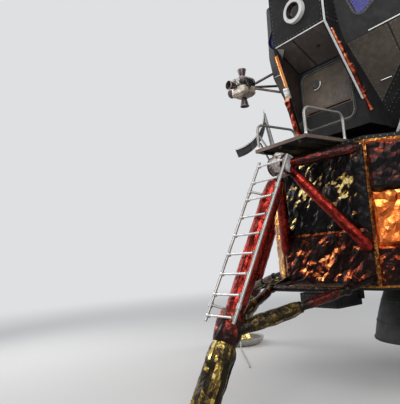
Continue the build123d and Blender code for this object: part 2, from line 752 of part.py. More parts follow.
def stowage_pallet():
    """Equipment pallet that closes the recess in the front left quarter and folds down."""
    out = DIAGONAL_REACH
    tray = slab(
        [
            (-out, PALLET_LOW),
            (PALLET_DEPTH - out, PALLET_LOW),
            (PALLET_DEPTH - out, PALLET_HIGH - PALLET_TOP_SLOPE),
            (-out, PALLET_HIGH),
        ],
        SIDE_VIEW,
        -PALLET_HALF,
        PALLET_HALF,
    )
    cover = slab(
        [
            (-out, PALLET_LOW),
            (-out - PALLET_SWELL, PALLET_LOW + PALLET_SWELL),
            (-out - PALLET_SWELL, PALLET_HIGH - 2 * PALLET_SWELL),
            (-out, PALLET_HIGH),
        ],
        SIDE_VIEW,
        -PALLET_HALF,
        PALLET_HALF,
    )
    pallet = Rot(0, 0, QUARTER_TURN["front_left"]) * (tray + cover)
    for place in pallet_hinges():
        pallet += hinge_leaf(place)
    return pallet


# Ascent stage: a faceted crew cabin forward, the midsection behind it
def face_normal(side, tilt):
    """Outward normal of a panel that hangs on the window panels' lower edge."""
    across, back, rise = [b - a for a, b in zip(FACE_INNER, FACE_OUTER)]
    edge = Vector(side * across, -back, rise).normalized()
    level = Vector(-side * back, -across, 0).normalized()
    up = edge.cross(level)
    if up.Z < 0:
        up = -up
    lean = radians(tilt)
    return level * cos(lean) - up * sin(lean)


def cabin_block(inset):
    """Cabin's faceted outline, every panel moved in by a distance."""
    outline = Polygon(*mirrored(CABIN_OUTLINE), align=None)
    if inset:
        outline = offset(outline, amount=-inset, kind=Kind.INTERSECTION)
    body = pushed(outline, FRONT_VIEW, CABIN_BACK, NOSE_REACH)
    for side in (-1, 1):
        corner = Vector(side * FACE_INNER[0], -FACE_INNER[1], FACE_INNER[2])
        for tilt in (WINDOW_TILT, CHEEK_TILT):
            normal = face_normal(side, tilt)
            body = trimmed(body, corner - normal * inset, normal)
    brow = Vector(0, -sin(radians(FOREHEAD_SLOPE)), cos(radians(FOREHEAD_SLOPE)))
    return trimmed(body, Vector(0, -FOREHEAD[0], FOREHEAD[1]) - brow * inset, brow)


def nose():
    """Box between the windows, with the side walls of the hatch alcove under it."""
    low = CABIN_OUTLINE[0][1]
    profile = [
        (-FACE_SPLIT, low),
        (-HATCH_PLANE, low),
        (-HATCH_PLANE, NOSE_FOOT),
        (-NOSE_REACH, NOSE_LIP),
        (-NOSE_REACH, NOSE_TOP),
        (-FACE_SPLIT, CABIN_OUTLINE[-1][1]),
    ]
    width = ALCOVE_FOOT_HALF * 2
    return slab(profile, SIDE_VIEW, -width, width) & nose_front(NOSE_SIDE)


def nose_front(side_wall):
    """Prism along Y whose sides spread from the alcove's lip down to its foot."""
    low = CABIN_OUTLINE[0][1]
    flare = (ALCOVE_FOOT_HALF - ALCOVE_LIP_HALF) / (NOSE_LIP - NOSE_FOOT)
    half = ALCOVE_LIP_HALF + side_wall
    right = [
        (half + flare * (NOSE_LIP - low), low),
        (half, NOSE_LIP),
        (half, MID_ROOF),
    ]
    return pushed(
        Polygon(*mirrored(right), align=None), FRONT_VIEW, CABIN_BACK, NOSE_REACH + 2 * CABIN_WALL
    )


def alcove():
    """Recess in front of the hatch, open forward and below."""
    low = CABIN_OUTLINE[0][1]
    before = NOSE_REACH + CABIN_WALL
    profile = [
        (-HATCH_PLANE, low),
        (-HATCH_PLANE, CEILING_LOW),
        (-NOSE_REACH, NOSE_LIP),
        (-before, NOSE_LIP),
        (-before, low),
    ]
    width = ALCOVE_FOOT_HALF * 2
    return slab(profile, SIDE_VIEW, -width, width) & nose_front(0)


def hatch_outline(inset):
    size = HATCH_SIZE - 2 * inset
    square = RectangleRounded(size, size, HATCH_CORNER - inset)
    return Pos(0, HATCH_LOW + HATCH_SIZE / 2) * square


def window_outline(side, inset):
    triangle = Polygon(*[(side * x, z) for x, z in WINDOW_CORNERS], align=None)
    triangle = fillet(triangle.vertices(), WINDOW_FILLET)
    if inset:
        triangle = offset(triangle, amount=-inset)
    return triangle


def cabin():
    """Whole hollow cabin, from which the front face and the shell are split."""
    body = cabin_block(0) + nose() - alcove()
    room = cabin_block(CABIN_WALL)
    before_room = brick(
        (-MID_HALF, -NOSE_REACH - 2 * CABIN_WALL, CABIN_OUTLINE[0][1]),
        (MID_HALF, HATCH_WALL - HATCH_PLANE, MID_ROOF),
    )
    room -= nose_front(NOSE_SIDE) & before_room
    room += brick(
        (NOSE_WALL - NOSE_HALF, HATCH_WALL - HATCH_PLANE, CABIN_OUTLINE[0][1] + CABIN_WALL),
        (NOSE_HALF - NOSE_WALL, -CABIN_BACK - CABIN_WALL, FACE_INNER[2]),
    )
    through = brick(
        (-MID_ROOM_HALF, -CABIN_BACK - CABIN_WALL * 3, MID_DECK),
        (MID_ROOM_HALF, -CABIN_BACK, CABIN_OUTLINE[-2][1]),
    )
    body = body - room
    body -= through
    through_face = (FACE_SPLIT - CABIN_WALL, NOSE_REACH + CABIN_WALL)
    body -= pushed(hatch_outline(0), FRONT_VIEW, *through_face)
    for side in (-1, 1):
        body -= pushed(window_outline(side, 0), FRONT_VIEW, *through_face)
    body -= dock_window_prism(0)
    for place in forward_hinges():
        body += hinge_bracket(place)
    return body


def forward_hinges():
    """Hinge line of the forward hatch, inside the cabin on its right-hand side."""
    edge = -HATCH_SIZE / 2 - HINGE_SETBACK
    inner = HATCH_PLANE - HATCH_WALL
    origin = (edge, HINGE_LIFT - inner, 0)
    heights = [-height for height in HATCH_HINGES]
    return hinge_places(origin, (0, 0, -1), (1, 0, 0), heights)


def dock_window_prism(inset):
    wide, long = DOCK_WINDOW
    x, forward = DOCK_WINDOW_PLACE
    return brick(
        (x - wide / 2 + inset, -forward - long / 2 + inset, MID_SHOULDER),
        (x + wide / 2 - inset, -forward + long / 2 - inset, MID_ROOF * 2),
    )


def windows():
    """Two triangular panes and the small overhead one, each a little behind its panel."""
    layer = cabin_block(GLASS_SET_IN) - cabin_block(GLASS_SET_IN + GLASS)
    panes = []
    for side in (-1, 1):
        prism = pushed(window_outline(side, SEAT), FRONT_VIEW, FACE_SPLIT, NOSE_REACH)
        panes.append(layer & prism)
    panes.append(layer & dock_window_prism(SEAT))
    return Compound(children=[pane.solids()[0] for pane in panes])


def forward_hatch():
    inner = HATCH_PLANE - HATCH_WALL
    hatch = pushed(hatch_outline(RUNNING), FRONT_VIEW, inner, HATCH_PLANE)
    x, z, radius, half = HATCH_VALVE
    hatch += Pos(x, -HATCH_PLANE, z) * Rot(90, 0, 0) * Cylinder(radius, 2 * half)
    for place in forward_hinges():
        hatch += hinge_leaf(place)
    return hatch


def instrument_panel():
    back = HATCH_PLANE - HATCH_WALL
    profile = [
        (-back, PANEL_LOW),
        (-back + PANEL_DEPTH, PANEL_LOW),
        (-back + PANEL_DEPTH / 2, PANEL_HIGH),
        (-back, PANEL_HIGH),
    ]
    return slab(profile, SIDE_VIEW, -PANEL_HALF, PANEL_HALF)


# Midsection, with the room behind the cabin and the well of the ascent engine
def midsection_block():
    outline = mirrored([
        (MID_HALF, ASCENT_BOTTOM),
        (MID_HALF, MID_SHOULDER),
        (MID_ROOF_HALF, MID_ROOF),
    ])
    return slab(outline, FRONT_VIEW, -MID_DEPTH, MID_DEPTH)


def midsection():
    body = midsection_block()
    body -= brick(
        (-MID_ROOM_HALF, -MID_DEPTH, MID_DECK),
        (MID_ROOM_HALF, MID_ROOM_BACK, MID_SHOULDER),
    )
    upper = MID_ROOF - ROOF_THICKNESS
    body -= slab(
        mirrored([(MID_ROOM_HALF, MID_SHOULDER), (MID_ROOF_HALF - 60, upper)]),
        FRONT_VIEW,
        -MID_ROOM_BACK,
        MID_DEPTH,
    )
    body -= Pos(0, 0, MID_ROOF) * Cylinder(TUNNEL_BORE, 4 * ROOF_THICKNESS)
    body -= Pos(0, 0, (ASCENT_BOTTOM + MID_DECK) / 2) * Cylinder(
        ENGINE_WELL, MID_DECK - ASCENT_BOTTOM
    )
    for place in overhead_hinges():
        body += hinge_bracket(place)
    return body


def overhead_hinges():
    """Hinge line of the overhead hatch, under the roof behind the tunnel."""
    origin = (0, TUNNEL_BORE + HINGE_SETBACK, MID_ROOF - ROOF_THICKNESS - HINGE_LIFT)
    return hinge_places(origin, (-1, 0, 0), (0, -1, 0), OVERHEAD_HINGES)


def ascent_engine():
    """Plain mass of the ascent engine, with the drum cover that stands in the cabin."""
    outline = Polyline(
        (0, ASCENT_BOTTOM),
        (ENGINE_WELL - SEAT, ASCENT_BOTTOM),
        (ENGINE_WELL - SEAT, ASCENT_BOTTOM + ENGINE_FLANGE),
        (CHAMBER_HALF, MID_DECK - CHAMBER_HALF),
        (CHAMBER_HALF, MID_DECK - ENGINE_COLLAR),
        (ENGINE_WELL - SEAT, MID_DECK),
        (DRUM_RADIUS, MID_DECK),
        (DRUM_RADIUS, MID_DECK + DRUM_HEIGHT - DRUM_EDGE),
        (DRUM_RADIUS - DRUM_EDGE, MID_DECK + DRUM_HEIGHT),
        (0, MID_DECK + DRUM_HEIGHT),
        close=True,
    )
    return turned(outline)


def tunnel():
    outer = TUNNEL_BORE + TUNNEL_WALL
    flange = outer + TUNNEL_FLANGE
    shelf = TUNNEL_TOP - TUNNEL_FLANGE_HEIGHT
    outline = Polyline(
        (TUNNEL_BORE, MID_ROOF),
        (outer + 30, MID_ROOF),
        (outer, MID_ROOF + 90),
        (outer, shelf - 30),
        (flange, shelf),
        (flange, TUNNEL_TOP),
        (TUNNEL_BORE, TUNNEL_TOP),
        close=True,
    )
    return turned(outline)


def docking_drogue():
    """Hollow cone in the tunnel with the probe's capture hole at its bottom."""
    rim = TUNNEL_BORE - SEAT
    top = TUNNEL_TOP - 20
    bottom = top - DROGUE_DEPTH
    outline = Polyline(
        (DROGUE_HOLE, bottom),
        (DROGUE_HOLE + 30, bottom),
        (rim - 20, top - DROGUE_WALL - 30),
        (rim, top - DROGUE_WALL - 30),
        (rim, top),
        (rim - 14, top),
        (DROGUE_HOLE, bottom + DROGUE_WALL + 10),
        close=True,
    )
    return turned(outline)


def overhead_hatch():
    low = MID_ROOF - ROOF_THICKNESS
    disc = Pos(0, 0, low + OVERHEAD_HATCH_THICKNESS / 2) * Cylinder(
        TUNNEL_BORE - RUNNING, OVERHEAD_HATCH_THICKNESS
    )
    for place in overhead_hinges():
        disc += hinge_leaf(place)
    return disc


def tank_bay(side, centre):
    """Faceted cover over one propellant tank."""
    cut = TANK_RADIUS * TANK_CHAMFER
    r = TANK_RADIUS
    low = STAGE_TOP + DECK_THICKNESS + TANK_LIFT
    high = low + 2 * r
    front = [
        (MID_HALF, low),
        (centre + r - cut, low),
        (centre + r, low + cut),
        (centre + r, high - cut),
        (centre + r - cut, high),
        (MID_HALF, high),
    ]
    plan = [
        (MID_HALF, -r),
        (centre + r - cut, -r),
        (centre + r, -r + cut),
        (centre + r, r - cut),
        (centre + r - cut, r),
        (MID_HALF, r),
    ]
    body = slab([(side * x, z) for x, z in front], FRONT_VIEW, -r, r)
    return body & slab([(side * x, y) for x, y in plan], Plane.XY, low, high)


def aft_bay():
    cut = AFT_BAY_CHAMFER
    side = [
        (MID_DEPTH, AFT_BAY_LOW),
        (AFT_BAY_BACK - cut, AFT_BAY_LOW),
        (AFT_BAY_BACK, AFT_BAY_LOW + cut),
        (AFT_BAY_BACK, AFT_BAY_HIGH - cut),
        (AFT_BAY_BACK - cut, AFT_BAY_HIGH),
        (MID_DEPTH, AFT_BAY_HIGH),
    ]
    return slab(side, SIDE_VIEW, -AFT_BAY_HALF, AFT_BAY_HALF)


def interstage_fittings():
    low = STAGE_TOP + DECK_THICKNESS
    x, y = FITTING_PLACE
    h = FITTING_HALF
    return Compound(children=[
        brick((sx * x - h, sy * y - h, low), (sx * x + h, sy * y + h, ASCENT_BOTTOM))
        for sx in (-1, 1) for sy in (-1, 1)
    ])


# Thruster clusters on booms, and the plume deflectors below them
def nozzle():
    """Small open cone along +Z from its throat."""
    outline = [
        Line((0, 0), (NOZZLE_THROAT, 0)),
        ThreePointArc(
            (NOZZLE_THROAT, 0),
            (NOZZLE_EXIT * 0.72, NOZZLE_LENGTH * 0.5),
            (NOZZLE_EXIT, NOZZLE_LENGTH),
        ),
        Line((NOZZLE_EXIT, NOZZLE_LENGTH), (NOZZLE_EXIT - NOZZLE_WALL, NOZZLE_LENGTH)),
        Line((NOZZLE_EXIT - NOZZLE_WALL, NOZZLE_LENGTH), (NOZZLE_THROAT * 0.6, 30)),
        Line((NOZZLE_THROAT * 0.6, 30), (0, 30)),
        Line((0, 30), (0, 0)),
    ]
    return turned(Curve() + outline)


def rcs_quad(x_side, y_side):
    """Housing with four nozzles, held off the cabin or the aft bay by booms."""
    half = QUAD_BODY / 2
    centre = Vector(x_side * QUAD_PLACE, y_side * QUAD_PLACE, QUAD_HEIGHT)
    housing = chamfer(Box(QUAD_BODY, QUAD_BODY, QUAD_BODY).edges(), QUAD_CHAMFER)
    for turn in (Rot(0, 0, 0), Rot(180, 0, 0), Rot(0, 90 * x_side, 0), Rot(-90 * y_side, 0, 0)):
        housing += turn * Pos(0, 0, half - 1) * nozzle()
    cluster = Pos(*centre) * housing
    if y_side < 0:
        wall = CABIN_OUTLINE[2][0]
        feet = FRONT_BOOMS
    else:
        wall = AFT_BAY_HALF
        feet = REAR_BOOMS
    meet = centre - Vector(x_side * BOOM_MEET, y_side * BOOM_MEET, 0)
    for y, z in feet:
        cluster += rod((x_side * (wall - 2 * BOOM_TUBE), y, z), meet, BOOM_TUBE)
    return trimmed(cluster, (x_side * wall, 0, 0), (-x_side, 0, 0))


def plume_deflector():
    """Curved sheet on a tube frame, drawn facing -Y."""
    t = DEFLECTOR_SHEET
    start = (-DEFLECTOR_REACH, DEFLECTOR_TOP)
    middle = (-DEFLECTOR_MIDDLE_REACH, DEFLECTOR_MIDDLE_TOP)
    end = (-DEFLECTOR_END_REACH, DEFLECTOR_END_TOP)
    start_back = (start[0] + t, start[1])
    middle_back = (middle[0] + t * BEND_SHARE, middle[1] - t * BEND_SHARE)
    end_back = (end[0], end[1] - t)
    outline = [
        ThreePointArc(start, middle, end),
        Line(end, end_back),
        ThreePointArc(end_back, middle_back, start_back),
        Line(start_back, start),
    ]
    face = make_face(Curve() + outline)
    sheet = pushed(face, SIDE_VIEW, -DEFLECTOR_HALF, DEFLECTOR_HALF)
    top = STAGE_TOP + DECK_THICKNESS
    for side in (-1, 1):
        edge = side * (DEFLECTOR_HALF - DEFLECTOR_EDGE)
        back = DEFLECTOR_SETBACK - DIAGONAL_REACH
        outer_foot = (side * DEFLECTOR_OUTER_FOOT, back, top)
        inner_foot = (side * DEFLECTOR_INNER_FOOT, back, top)
        upper = (edge, start[0] + DEFLECTOR_TUBE, start[1] - DEFLECTOR_DROP)
        lower = (edge, middle[0] + 2 * t, middle[1] - 2 * t)
        sheet += rod(outer_foot, upper, DEFLECTOR_TUBE)
        sheet += rod(inner_foot, upper, DEFLECTOR_TUBE)
        sheet += rod(outer_foot, lower, DEFLECTOR_TUBE)
    return trimmed(sheet, (0, 0, top), (0, 0, -1))


# Antennas and lights
def dish(radius, depth):
    """Shallow bowl opening along +Z from its back at the origin."""
    outline = [
        ThreePointArc((0, 0), (radius * 0.52, depth * 0.27), (radius, depth)),
        Line((radius, depth), (radius - 4, depth + DISH_WALL)),
        ThreePointArc(
            (radius - 4, depth + DISH_WALL),
            (radius * 0.52, depth * 0.27 + DISH_WALL),
            (0, DISH_WALL),
        ),
        Line((0, DISH_WALL), (0, 0)),
    ]
    return turned(Curve() + outline)


def yoke(centre, base, half):
    """Fork that turns on a pedestal and carries a dish between its arms."""
    x, y, z = centre
    arm = YOKE_ARM
    low = base + arm
    fork = Pos(x, y, base + arm / 2) * Cylinder(2 * arm, arm)
    fork += brick((x - half - arm, y - arm, low), (x + half + arm, y + arm, low + arm))
    for side in (-1, 1):
        near = x + side * half
        far = near + side * arm
        fork += brick((min(near, far), y - arm, low), (max(near, far), y + arm, z + arm))
        fork -= rod((near - side, y, z), (far + side, y, z), TRUNNION_PIN + PIN_CLEARANCE)
    return fork


def dish_assembly(centre, half, radius, depth, lean):
    """Dish with its gearbox and trunnion pins, leaned back from facing forward."""
    wide, long = GEARBOX
    back = 0.65 * long
    unit = Pos(0, 0, back) * dish(radius, depth)
    unit += Pos(0, 0, back - long / 2) * Box(2 * (half - RUNNING), wide, long)
    unit += rod((0, 0, back), (0, 0, depth + FEED_REACH), 20)
    unit += Pos(0, 0, depth + FEED_REACH) * Cylinder(wide / 2, YOKE_ARM)
    unit = Rot(90 - lean, 0, 0) * unit
    unit += rod((-half - YOKE_ARM, 0, 0), (half + YOKE_ARM, 0, 0), TRUNNION_PIN)
    return Pos(*centre) * unit


RR_CENTRE = Vector(RR_BASE[0], RR_BASE[1], RR_SHAFT)
RR_PLACE = Pos(*RR_CENTRE) * Rot(-RR_LEAN, 0, 0)
SB_CENTRE = (SB_BASE[0], SB_BASE[1], SB_ELEVATION)


def radar_pedestal():
    """Post on the brow, with a plate whose ears carry the radar's shaft ahead of it."""
    x, y, z = RR_CENTRE
    back = y + RR_PEDESTAL_SETBACK
    low = RR_PEDESTAL_TOP - RR_PLATE
    wide = RR_HALF + YOKE_ARM
    post = rod((x, back, CABIN_OUTLINE[-2][1]), (x, back, RR_PEDESTAL_TOP), RR_PEDESTAL_RADIUS)
    post += brick(
        (x - wide, y - YOKE_ARM, low),
        (x + wide, back + RR_PEDESTAL_RADIUS, RR_PEDESTAL_TOP),
    )
    for side in (-1, 1):
        near = x + side * RR_HALF
        far = x + side * wide
        post += brick(
            (min(near, far), y - YOKE_ARM, low),
            (max(near, far), y + YOKE_ARM, z + YOKE_ARM),
        )
        post -= rod((near - side, y, z), (far + side, y, z), TRUNNION_PIN + PIN_CLEARANCE)
    return post - cabin_solid


def radar_shaft():
    """Drum across the pedestal's ears, with two arms that hold the dish's trunnion."""
    half = RR_HALF - RUNNING
    reach = RR_TRUNNION_REACH
    unit = rod((-half, 0, 0), (half, 0, 0), RR_SHAFT_DRUM)
    unit += rod((-RR_HALF - YOKE_ARM, 0, 0), (RR_HALF + YOKE_ARM, 0, 0), TRUNNION_PIN)
    for side in (-1, 1):
        near = side * RR_TRUNNION_HALF
        far = near + side * RR_ARM
        wide = YOKE_ARM
        unit += brick((-wide, -reach - wide, min(near, far)), (wide, RR_ARM, max(near, far)))
        unit += brick((-wide, -RR_ARM, min(0, far)), (wide, RR_ARM, max(0, far)))
        unit -= rod((0, -reach, near - side), (0, -reach, far + side), TRUNNION_PIN + PIN_CLEARANCE)
    return RR_PLACE * unit


def radar_dish():
    """Dish with its gearbox on the trunnion and its feed in front."""
    high = RR_TRUNNION_HALF - RUNNING
    end = RR_TRUNNION_HALF + RR_ARM
    feed = RR_DISH_DEPTH + FEED_REACH
    unit = Box(GEARBOX[0], RR_STANDOFF + DISH_WALL, 2 * high)
    unit += rod((0, 0, -end), (0, 0, end), TRUNNION_PIN)
    bowl = Pos(0, 0, RR_STANDOFF) * dish(RR_DISH_RADIUS, RR_DISH_DEPTH)
    bowl += rod((0, 0, RR_STANDOFF / 3), (0, 0, RR_STANDOFF + DISH_WALL), 40)
    bowl += rod((0, 0, RR_STANDOFF), (0, 0, feed), 18)
    bowl += Pos(0, 0, feed) * Cylinder(GEARBOX[0] / 2, YOKE_ARM)
    unit += Rot(90, 0, 0) * bowl
    return RR_PLACE * Pos(0, -RR_TRUNNION_REACH, 0) * unit


def s_band_mast():
    post = rod(
        (SB_BASE[0], SB_BASE[1], MID_SHOULDER),
        (SB_BASE[0], SB_BASE[1], SB_MAST_TOP - SEAT),
        SB_MAST_RADIUS,
    )
    return post - cabin_solid


def small_antennas():
    """Two rod antennas on the shoulders of the midsection."""
    rods = []
    for foot, tip in WHIPS:
        run = (Vector(*tip) - Vector(*foot)).normalized()
        knee = Vector(*foot) + run * WHIP_BASE[1]
        rods.append(rod(foot, knee, WHIP_BASE[0]) + rod(foot, tip, WHIP_RADIUS) - mid_solid)
    return Compound(children=rods)


def tracking_light():
    r = TRACKING_LIGHT_RADIUS
    deep = TRACKING_LIGHT_DEPTH
    ring = Cylinder(r, deep) - Pos(0, 0, TRACKING_LIGHT_FLOOR) * Cylinder(TRACKING_LIGHT_BORE, deep)
    height = (NOSE_LIP + NOSE_TOP) / 2 - TRACKING_LIGHT_DROP
    return Pos(0, -NOSE_REACH - deep / 2, height) * Rot(90, 0, 0) * ring


# Build every node
cabin_solid = cabin_block(0) + nose() - alcove()
mid_solid = midsection_block()
whole_cabin = cabin()
nodes["descent_structure"] = descent_structure()
nodes["base_heat_shield"] = base_heat_shield()
nodes["descent_deck"] = descent_deck()
trusses = []
probes = []
for leg, turn, probe in LEGS:
    place = Rot(0, 0, turn)
    strut = primary_strut()
    truss = deployment_truss()
    nodes["outrigger_" + leg] = place * outrigger()
    nodes["primary_strut_" + leg] = place * strut
    nodes["secondary_struts_" + leg] = Compound(
        children=[place * (secondary_strut(side) - strut - truss) for side in (-1, 1)]
    )
    nodes["footpad_" + leg] = place * footpad()
    trusses.append(place * truss)
    if probe:
        probes.append(place * contact_probe())
    if leg == "front":
        rails = [ladder_rail(side) - strut for side in (-1, 1)]
        rungs = [ladder_rung(i) - rails[0] - rails[1] for i in range(RUNG_COUNT)]
        nodes["ladder_rails"] = Compound(children=rails)
        nodes["ladder_rungs"] = Compound(children=rungs)
nodes["deployment_trusses"] = Compound(children=trusses)
nodes["contact_probes"] = Compound(children=probes)
nodes["porch"] = porch()
nodes["porch_handrails"] = porch_handrails()
nodes["gimbal_ring"] = gimbal_ring()
nodes["descent_engine"] = descent_engine()
nodes["landing_radar"] = landing_radar()
nodes["radar_hangers"] = radar_bracket()
nodes["stowage_pallet"] = stowage_pallet()
nodes["front_face"] = trimmed(whole_cabin, (0, -FACE_SPLIT, 0), (0, 1, 0))
nodes["cabin_shell"] = trimmed(whole_cabin, (0, -FACE_SPLIT, 0), (0, -1, 0))
nodes["windows"] = windows()
nodes["forward_hatch"] = forward_hatch()
nodes["instrument_panel"] = instrument_panel()
nodes["midsection"] = midsection()
nodes["ascent_engine"] = ascent_engine()
nodes["docking_tunnel"] = tunnel()
nodes["docking_drogue"] = docking_drogue()
nodes["overhead_hatch"] = overhead_hatch()
for name, side, centre in TANK_BAYS:
    nodes["tank_bay_" + name] = tank_bay(side, centre)
nodes["aft_bay"] = aft_bay()
nodes["interstage_fittings"] = interstage_fittings()
for name, x_side, y_side in QUARTERS:
    nodes["rcs_quad_" + name] = rcs_quad(x_side, y_side)
nodes["plume_deflectors"] = Compound(
    children=[Rot(0, 0, turn) * plume_deflector() for turn in QUARTER_TURN.values()]
)
nodes["radar_pedestal"] = radar_pedestal()
nodes["radar_shaft"] = radar_shaft()
nodes["radar_dish"] = radar_dish()
nodes["s_band_mast"] = s_band_mast()
nodes["s_band_yoke"] = yoke(SB_CENTRE, SB_MAST_TOP, SB_HALF)
nodes["s_band_dish"] = dish_assembly(
    SB_CENTRE, SB_HALF, SB_DISH_RADIUS, SB_DISH_DEPTH, SB_LEAN
)
nodes["small_antennas"] = small_antennas()
nodes["tracking_light"] = tracking_light()

for name, shape in nodes.items():
    export_step(shape, "parts/" + name + ".step")
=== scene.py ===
import math
import bpy
from mathutils import Matrix, Vector


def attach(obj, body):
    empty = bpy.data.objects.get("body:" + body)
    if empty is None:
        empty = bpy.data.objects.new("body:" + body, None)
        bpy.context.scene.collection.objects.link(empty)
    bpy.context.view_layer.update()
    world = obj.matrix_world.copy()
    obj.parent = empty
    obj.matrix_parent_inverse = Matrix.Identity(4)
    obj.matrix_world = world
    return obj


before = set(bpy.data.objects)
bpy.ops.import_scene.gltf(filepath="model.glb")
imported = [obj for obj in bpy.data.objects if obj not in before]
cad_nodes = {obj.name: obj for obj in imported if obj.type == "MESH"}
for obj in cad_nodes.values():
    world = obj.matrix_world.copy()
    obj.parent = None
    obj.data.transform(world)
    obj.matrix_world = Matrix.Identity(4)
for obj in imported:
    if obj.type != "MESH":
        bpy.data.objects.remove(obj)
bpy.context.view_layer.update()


# Eye point in front of the lander's left side at chest height, looking up at
# the hatch and along the front leg.
eye = Vector((3.63, -6.555, 1.97))
yaw, pitch, roll = math.radians(54.14), math.radians(6.77), math.radians(4.31)
forward = Vector((-math.sin(yaw) * math.cos(pitch), math.cos(yaw) * math.cos(pitch), math.sin(pitch)))
level = Vector((math.cos(yaw), math.sin(yaw), 0))
upward = level.cross(forward)
right = math.cos(roll) * level - math.sin(roll) * upward
top = math.sin(roll) * level + math.cos(roll) * upward
bpy.ops.object.camera_add(location=eye)
camera = bpy.context.object
turn = Matrix((right, top, -forward)).transposed().to_4x4()
camera.matrix_world = Matrix.Translation(eye) @ turn
camera.data.sensor_width = 36
camera.data.lens = 40.37
camera.data.clip_start = 0.05
bpy.context.scene.camera = camera

# Three large soft lamps and a pale surround. Metal and glass see the same pale
# surround as the eye does.
aim = Vector((0, 0, 2.8))
lamps = [
    ("key_lamp", (7.5, -9.0, 9.0), 7.0, 1150),
    ("side_lamp", (-9.0, -5.0, 6.0), 6.0, 420),
    ("rear_lamp", (3.0, 9.5, 8.0), 7.0, 620),
]
for name, place, size, power in lamps:
    bpy.ops.object.light_add(type="AREA", location=place)
    lamp = bpy.context.object
    lamp.name = name
    lamp.data.size = size
    lamp.data.energy = power
    lamp.rotation_euler = (aim - Vector(place)).to_track_quat("-Z", "Y").to_euler()


def worked_out(tree, operation, first, second, clamp=False):
    """Two factors added or multiplied in a node tree."""
    maths = tree.nodes.new("ShaderNodeMath")
    maths.operation = operation
    maths.use_clamp = clamp
    tree.links.new(first, maths.inputs[0])
    tree.links.new(second, maths.inputs[1])
    return maths.outputs[0]


def seen_rays(tree):
    """1 for what the eye sees straight, mirrored or through glass, 0 for lighting."""
    rays = tree.nodes.new("ShaderNodeLightPath").outputs
    straight = worked_out(tree, "ADD", rays["Is Camera Ray"], rays["Is Transmission Ray"])
    return worked_out(tree, "ADD", straight, rays["Is Glossy Ray"], True)


def glow(tree, kind, colour, strength):
    """Shader that shines evenly in one colour."""
    light = tree.nodes.new(kind)
    light.inputs["Color"].default_value = (*colour, 1)
    light.inputs["Strength"].default_value = strength
    return light.outputs[0]


def chosen_shader(tree, factor, first, second, output):
    """Shows the second shader where the factor is 1 and the first elsewhere."""
    choice = tree.nodes.new("ShaderNodeMixShader")
    for index, source in enumerate((factor, first, second)):
        tree.links.new(source, choice.inputs[index])
    tree.links.new(choice.outputs[0], output.inputs[0])


pale_colour, pale_strength = (0.80, 0.81, 0.83), 0.92
ambient_colour, ambient_strength = (0.90, 0.93, 1.0), 0.42
world = bpy.data.worlds.new("surround")
bpy.context.scene.world = world
world.use_nodes = True
sky = world.node_tree
sky.nodes.clear()
chosen_shader(
    sky, seen_rays(sky), glow(sky, "ShaderNodeBackground", ambient_colour, ambient_strength),
    glow(sky, "ShaderNodeBackground", pale_colour, pale_strength), sky.nodes.new("ShaderNodeOutputWorld"),
)
bpy.context.scene.view_settings.view_transform = "Standard"

# Plain pale floor, level with the four footpads' soles.
bpy.ops.mesh.primitive_plane_add(size=60, location=(0, 0, -0.002))
floor = bpy.context.object
floor.name = "floor"
floor_paint = bpy.data.materials.new("floor_paint")
floor_paint.use_nodes = True
floor_shader = floor_paint.node_tree.nodes["Principled BSDF"]
floor_shader.inputs["Base Color"].default_value = (0.66, 0.655, 0.64, 1)
floor_shader.inputs["Roughness"].default_value = 0.92
floor_shader.inputs["Specular IOR Level"].default_value = 0.2
# Far from the lander the floor takes the surround's colour for the eye alone.
floor_tree = floor_paint.node_tree
floor_place = floor_tree.nodes.new("ShaderNodeTexCoord")
fade_start, fade_end = 6.0, 21.0
far_off = floor_tree.nodes.new("ShaderNodeVectorMath")
far_off.operation = "LENGTH"
floor_tree.links.new(floor_place.outputs["Object"], far_off.inputs[0])
fade = floor_tree.nodes.new("ShaderNodeMapRange")
fade.interpolation_type = "SMOOTHSTEP"
fade.inputs["From Min"].default_value = fade_start
fade.inputs["From Max"].default_value = fade_end
floor_tree.links.new(far_off.outputs["Value"], fade.inputs["Value"])
chosen_shader(
    floor_tree, worked_out(floor_tree, "MULTIPLY", fade.outputs["Result"], seen_rays(floor_tree)),
    floor_shader.outputs[0], glow(floor_tree, "ShaderNodeEmission", pale_colour, pale_strength),
    floor_tree.nodes["Material Output"],
)
floor.data.materials.append(floor_paint)


# Descent stage body: an octagonal box of panels, blanketed in aluminised amber
# film that is crumpled by hand and taped over the frame. Round it every finish is
# a material with its own tones, grain and creases.
def new_finish(name, metallic, roughness):
    """Material with one principled shader, its coordinates and their tree."""
    material = bpy.data.materials.new(name)
    material.use_nodes = True
    tree = material.node_tree
    shader = tree.nodes["Principled BSDF"]
    shader.inputs["Metallic"].default_value = metallic
    shader.inputs["Roughness"].default_value = roughness
    place = tree.nodes.new("ShaderNodeTexCoord")
    return material, tree, shader, place.outputs["Object"]


def ramp_of(tree, factor, tones):
    """Colour ramp over a factor: tones are (position, colour)."""
    ramp = tree.nodes.new("ShaderNodeValToRGB")
    while len(ramp.color_ramp.elements) < len(tones):
        ramp.color_ramp.elements.new(0.5)
    for element, (position, colour) in zip(ramp.color_ramp.elements, tones):
        element.position = position
        element.color = (*colour, 1)
    tree.links.new(factor, ramp.inputs["Fac"])
    return ramp.outputs["Color"]


def spread(tree, factor, low, high, start=0.3, end=0.7):
    """Factor stretched between two values."""
    stretch = tree.nodes.new("ShaderNodeMapRange")
    for key, value in (("From Min", start), ("From Max", end), ("To Min", low), ("To Max", high)):
        stretch.inputs[key].default_value = value
    tree.links.new(factor, stretch.inputs["Value"])
    return stretch.outputs["Result"]


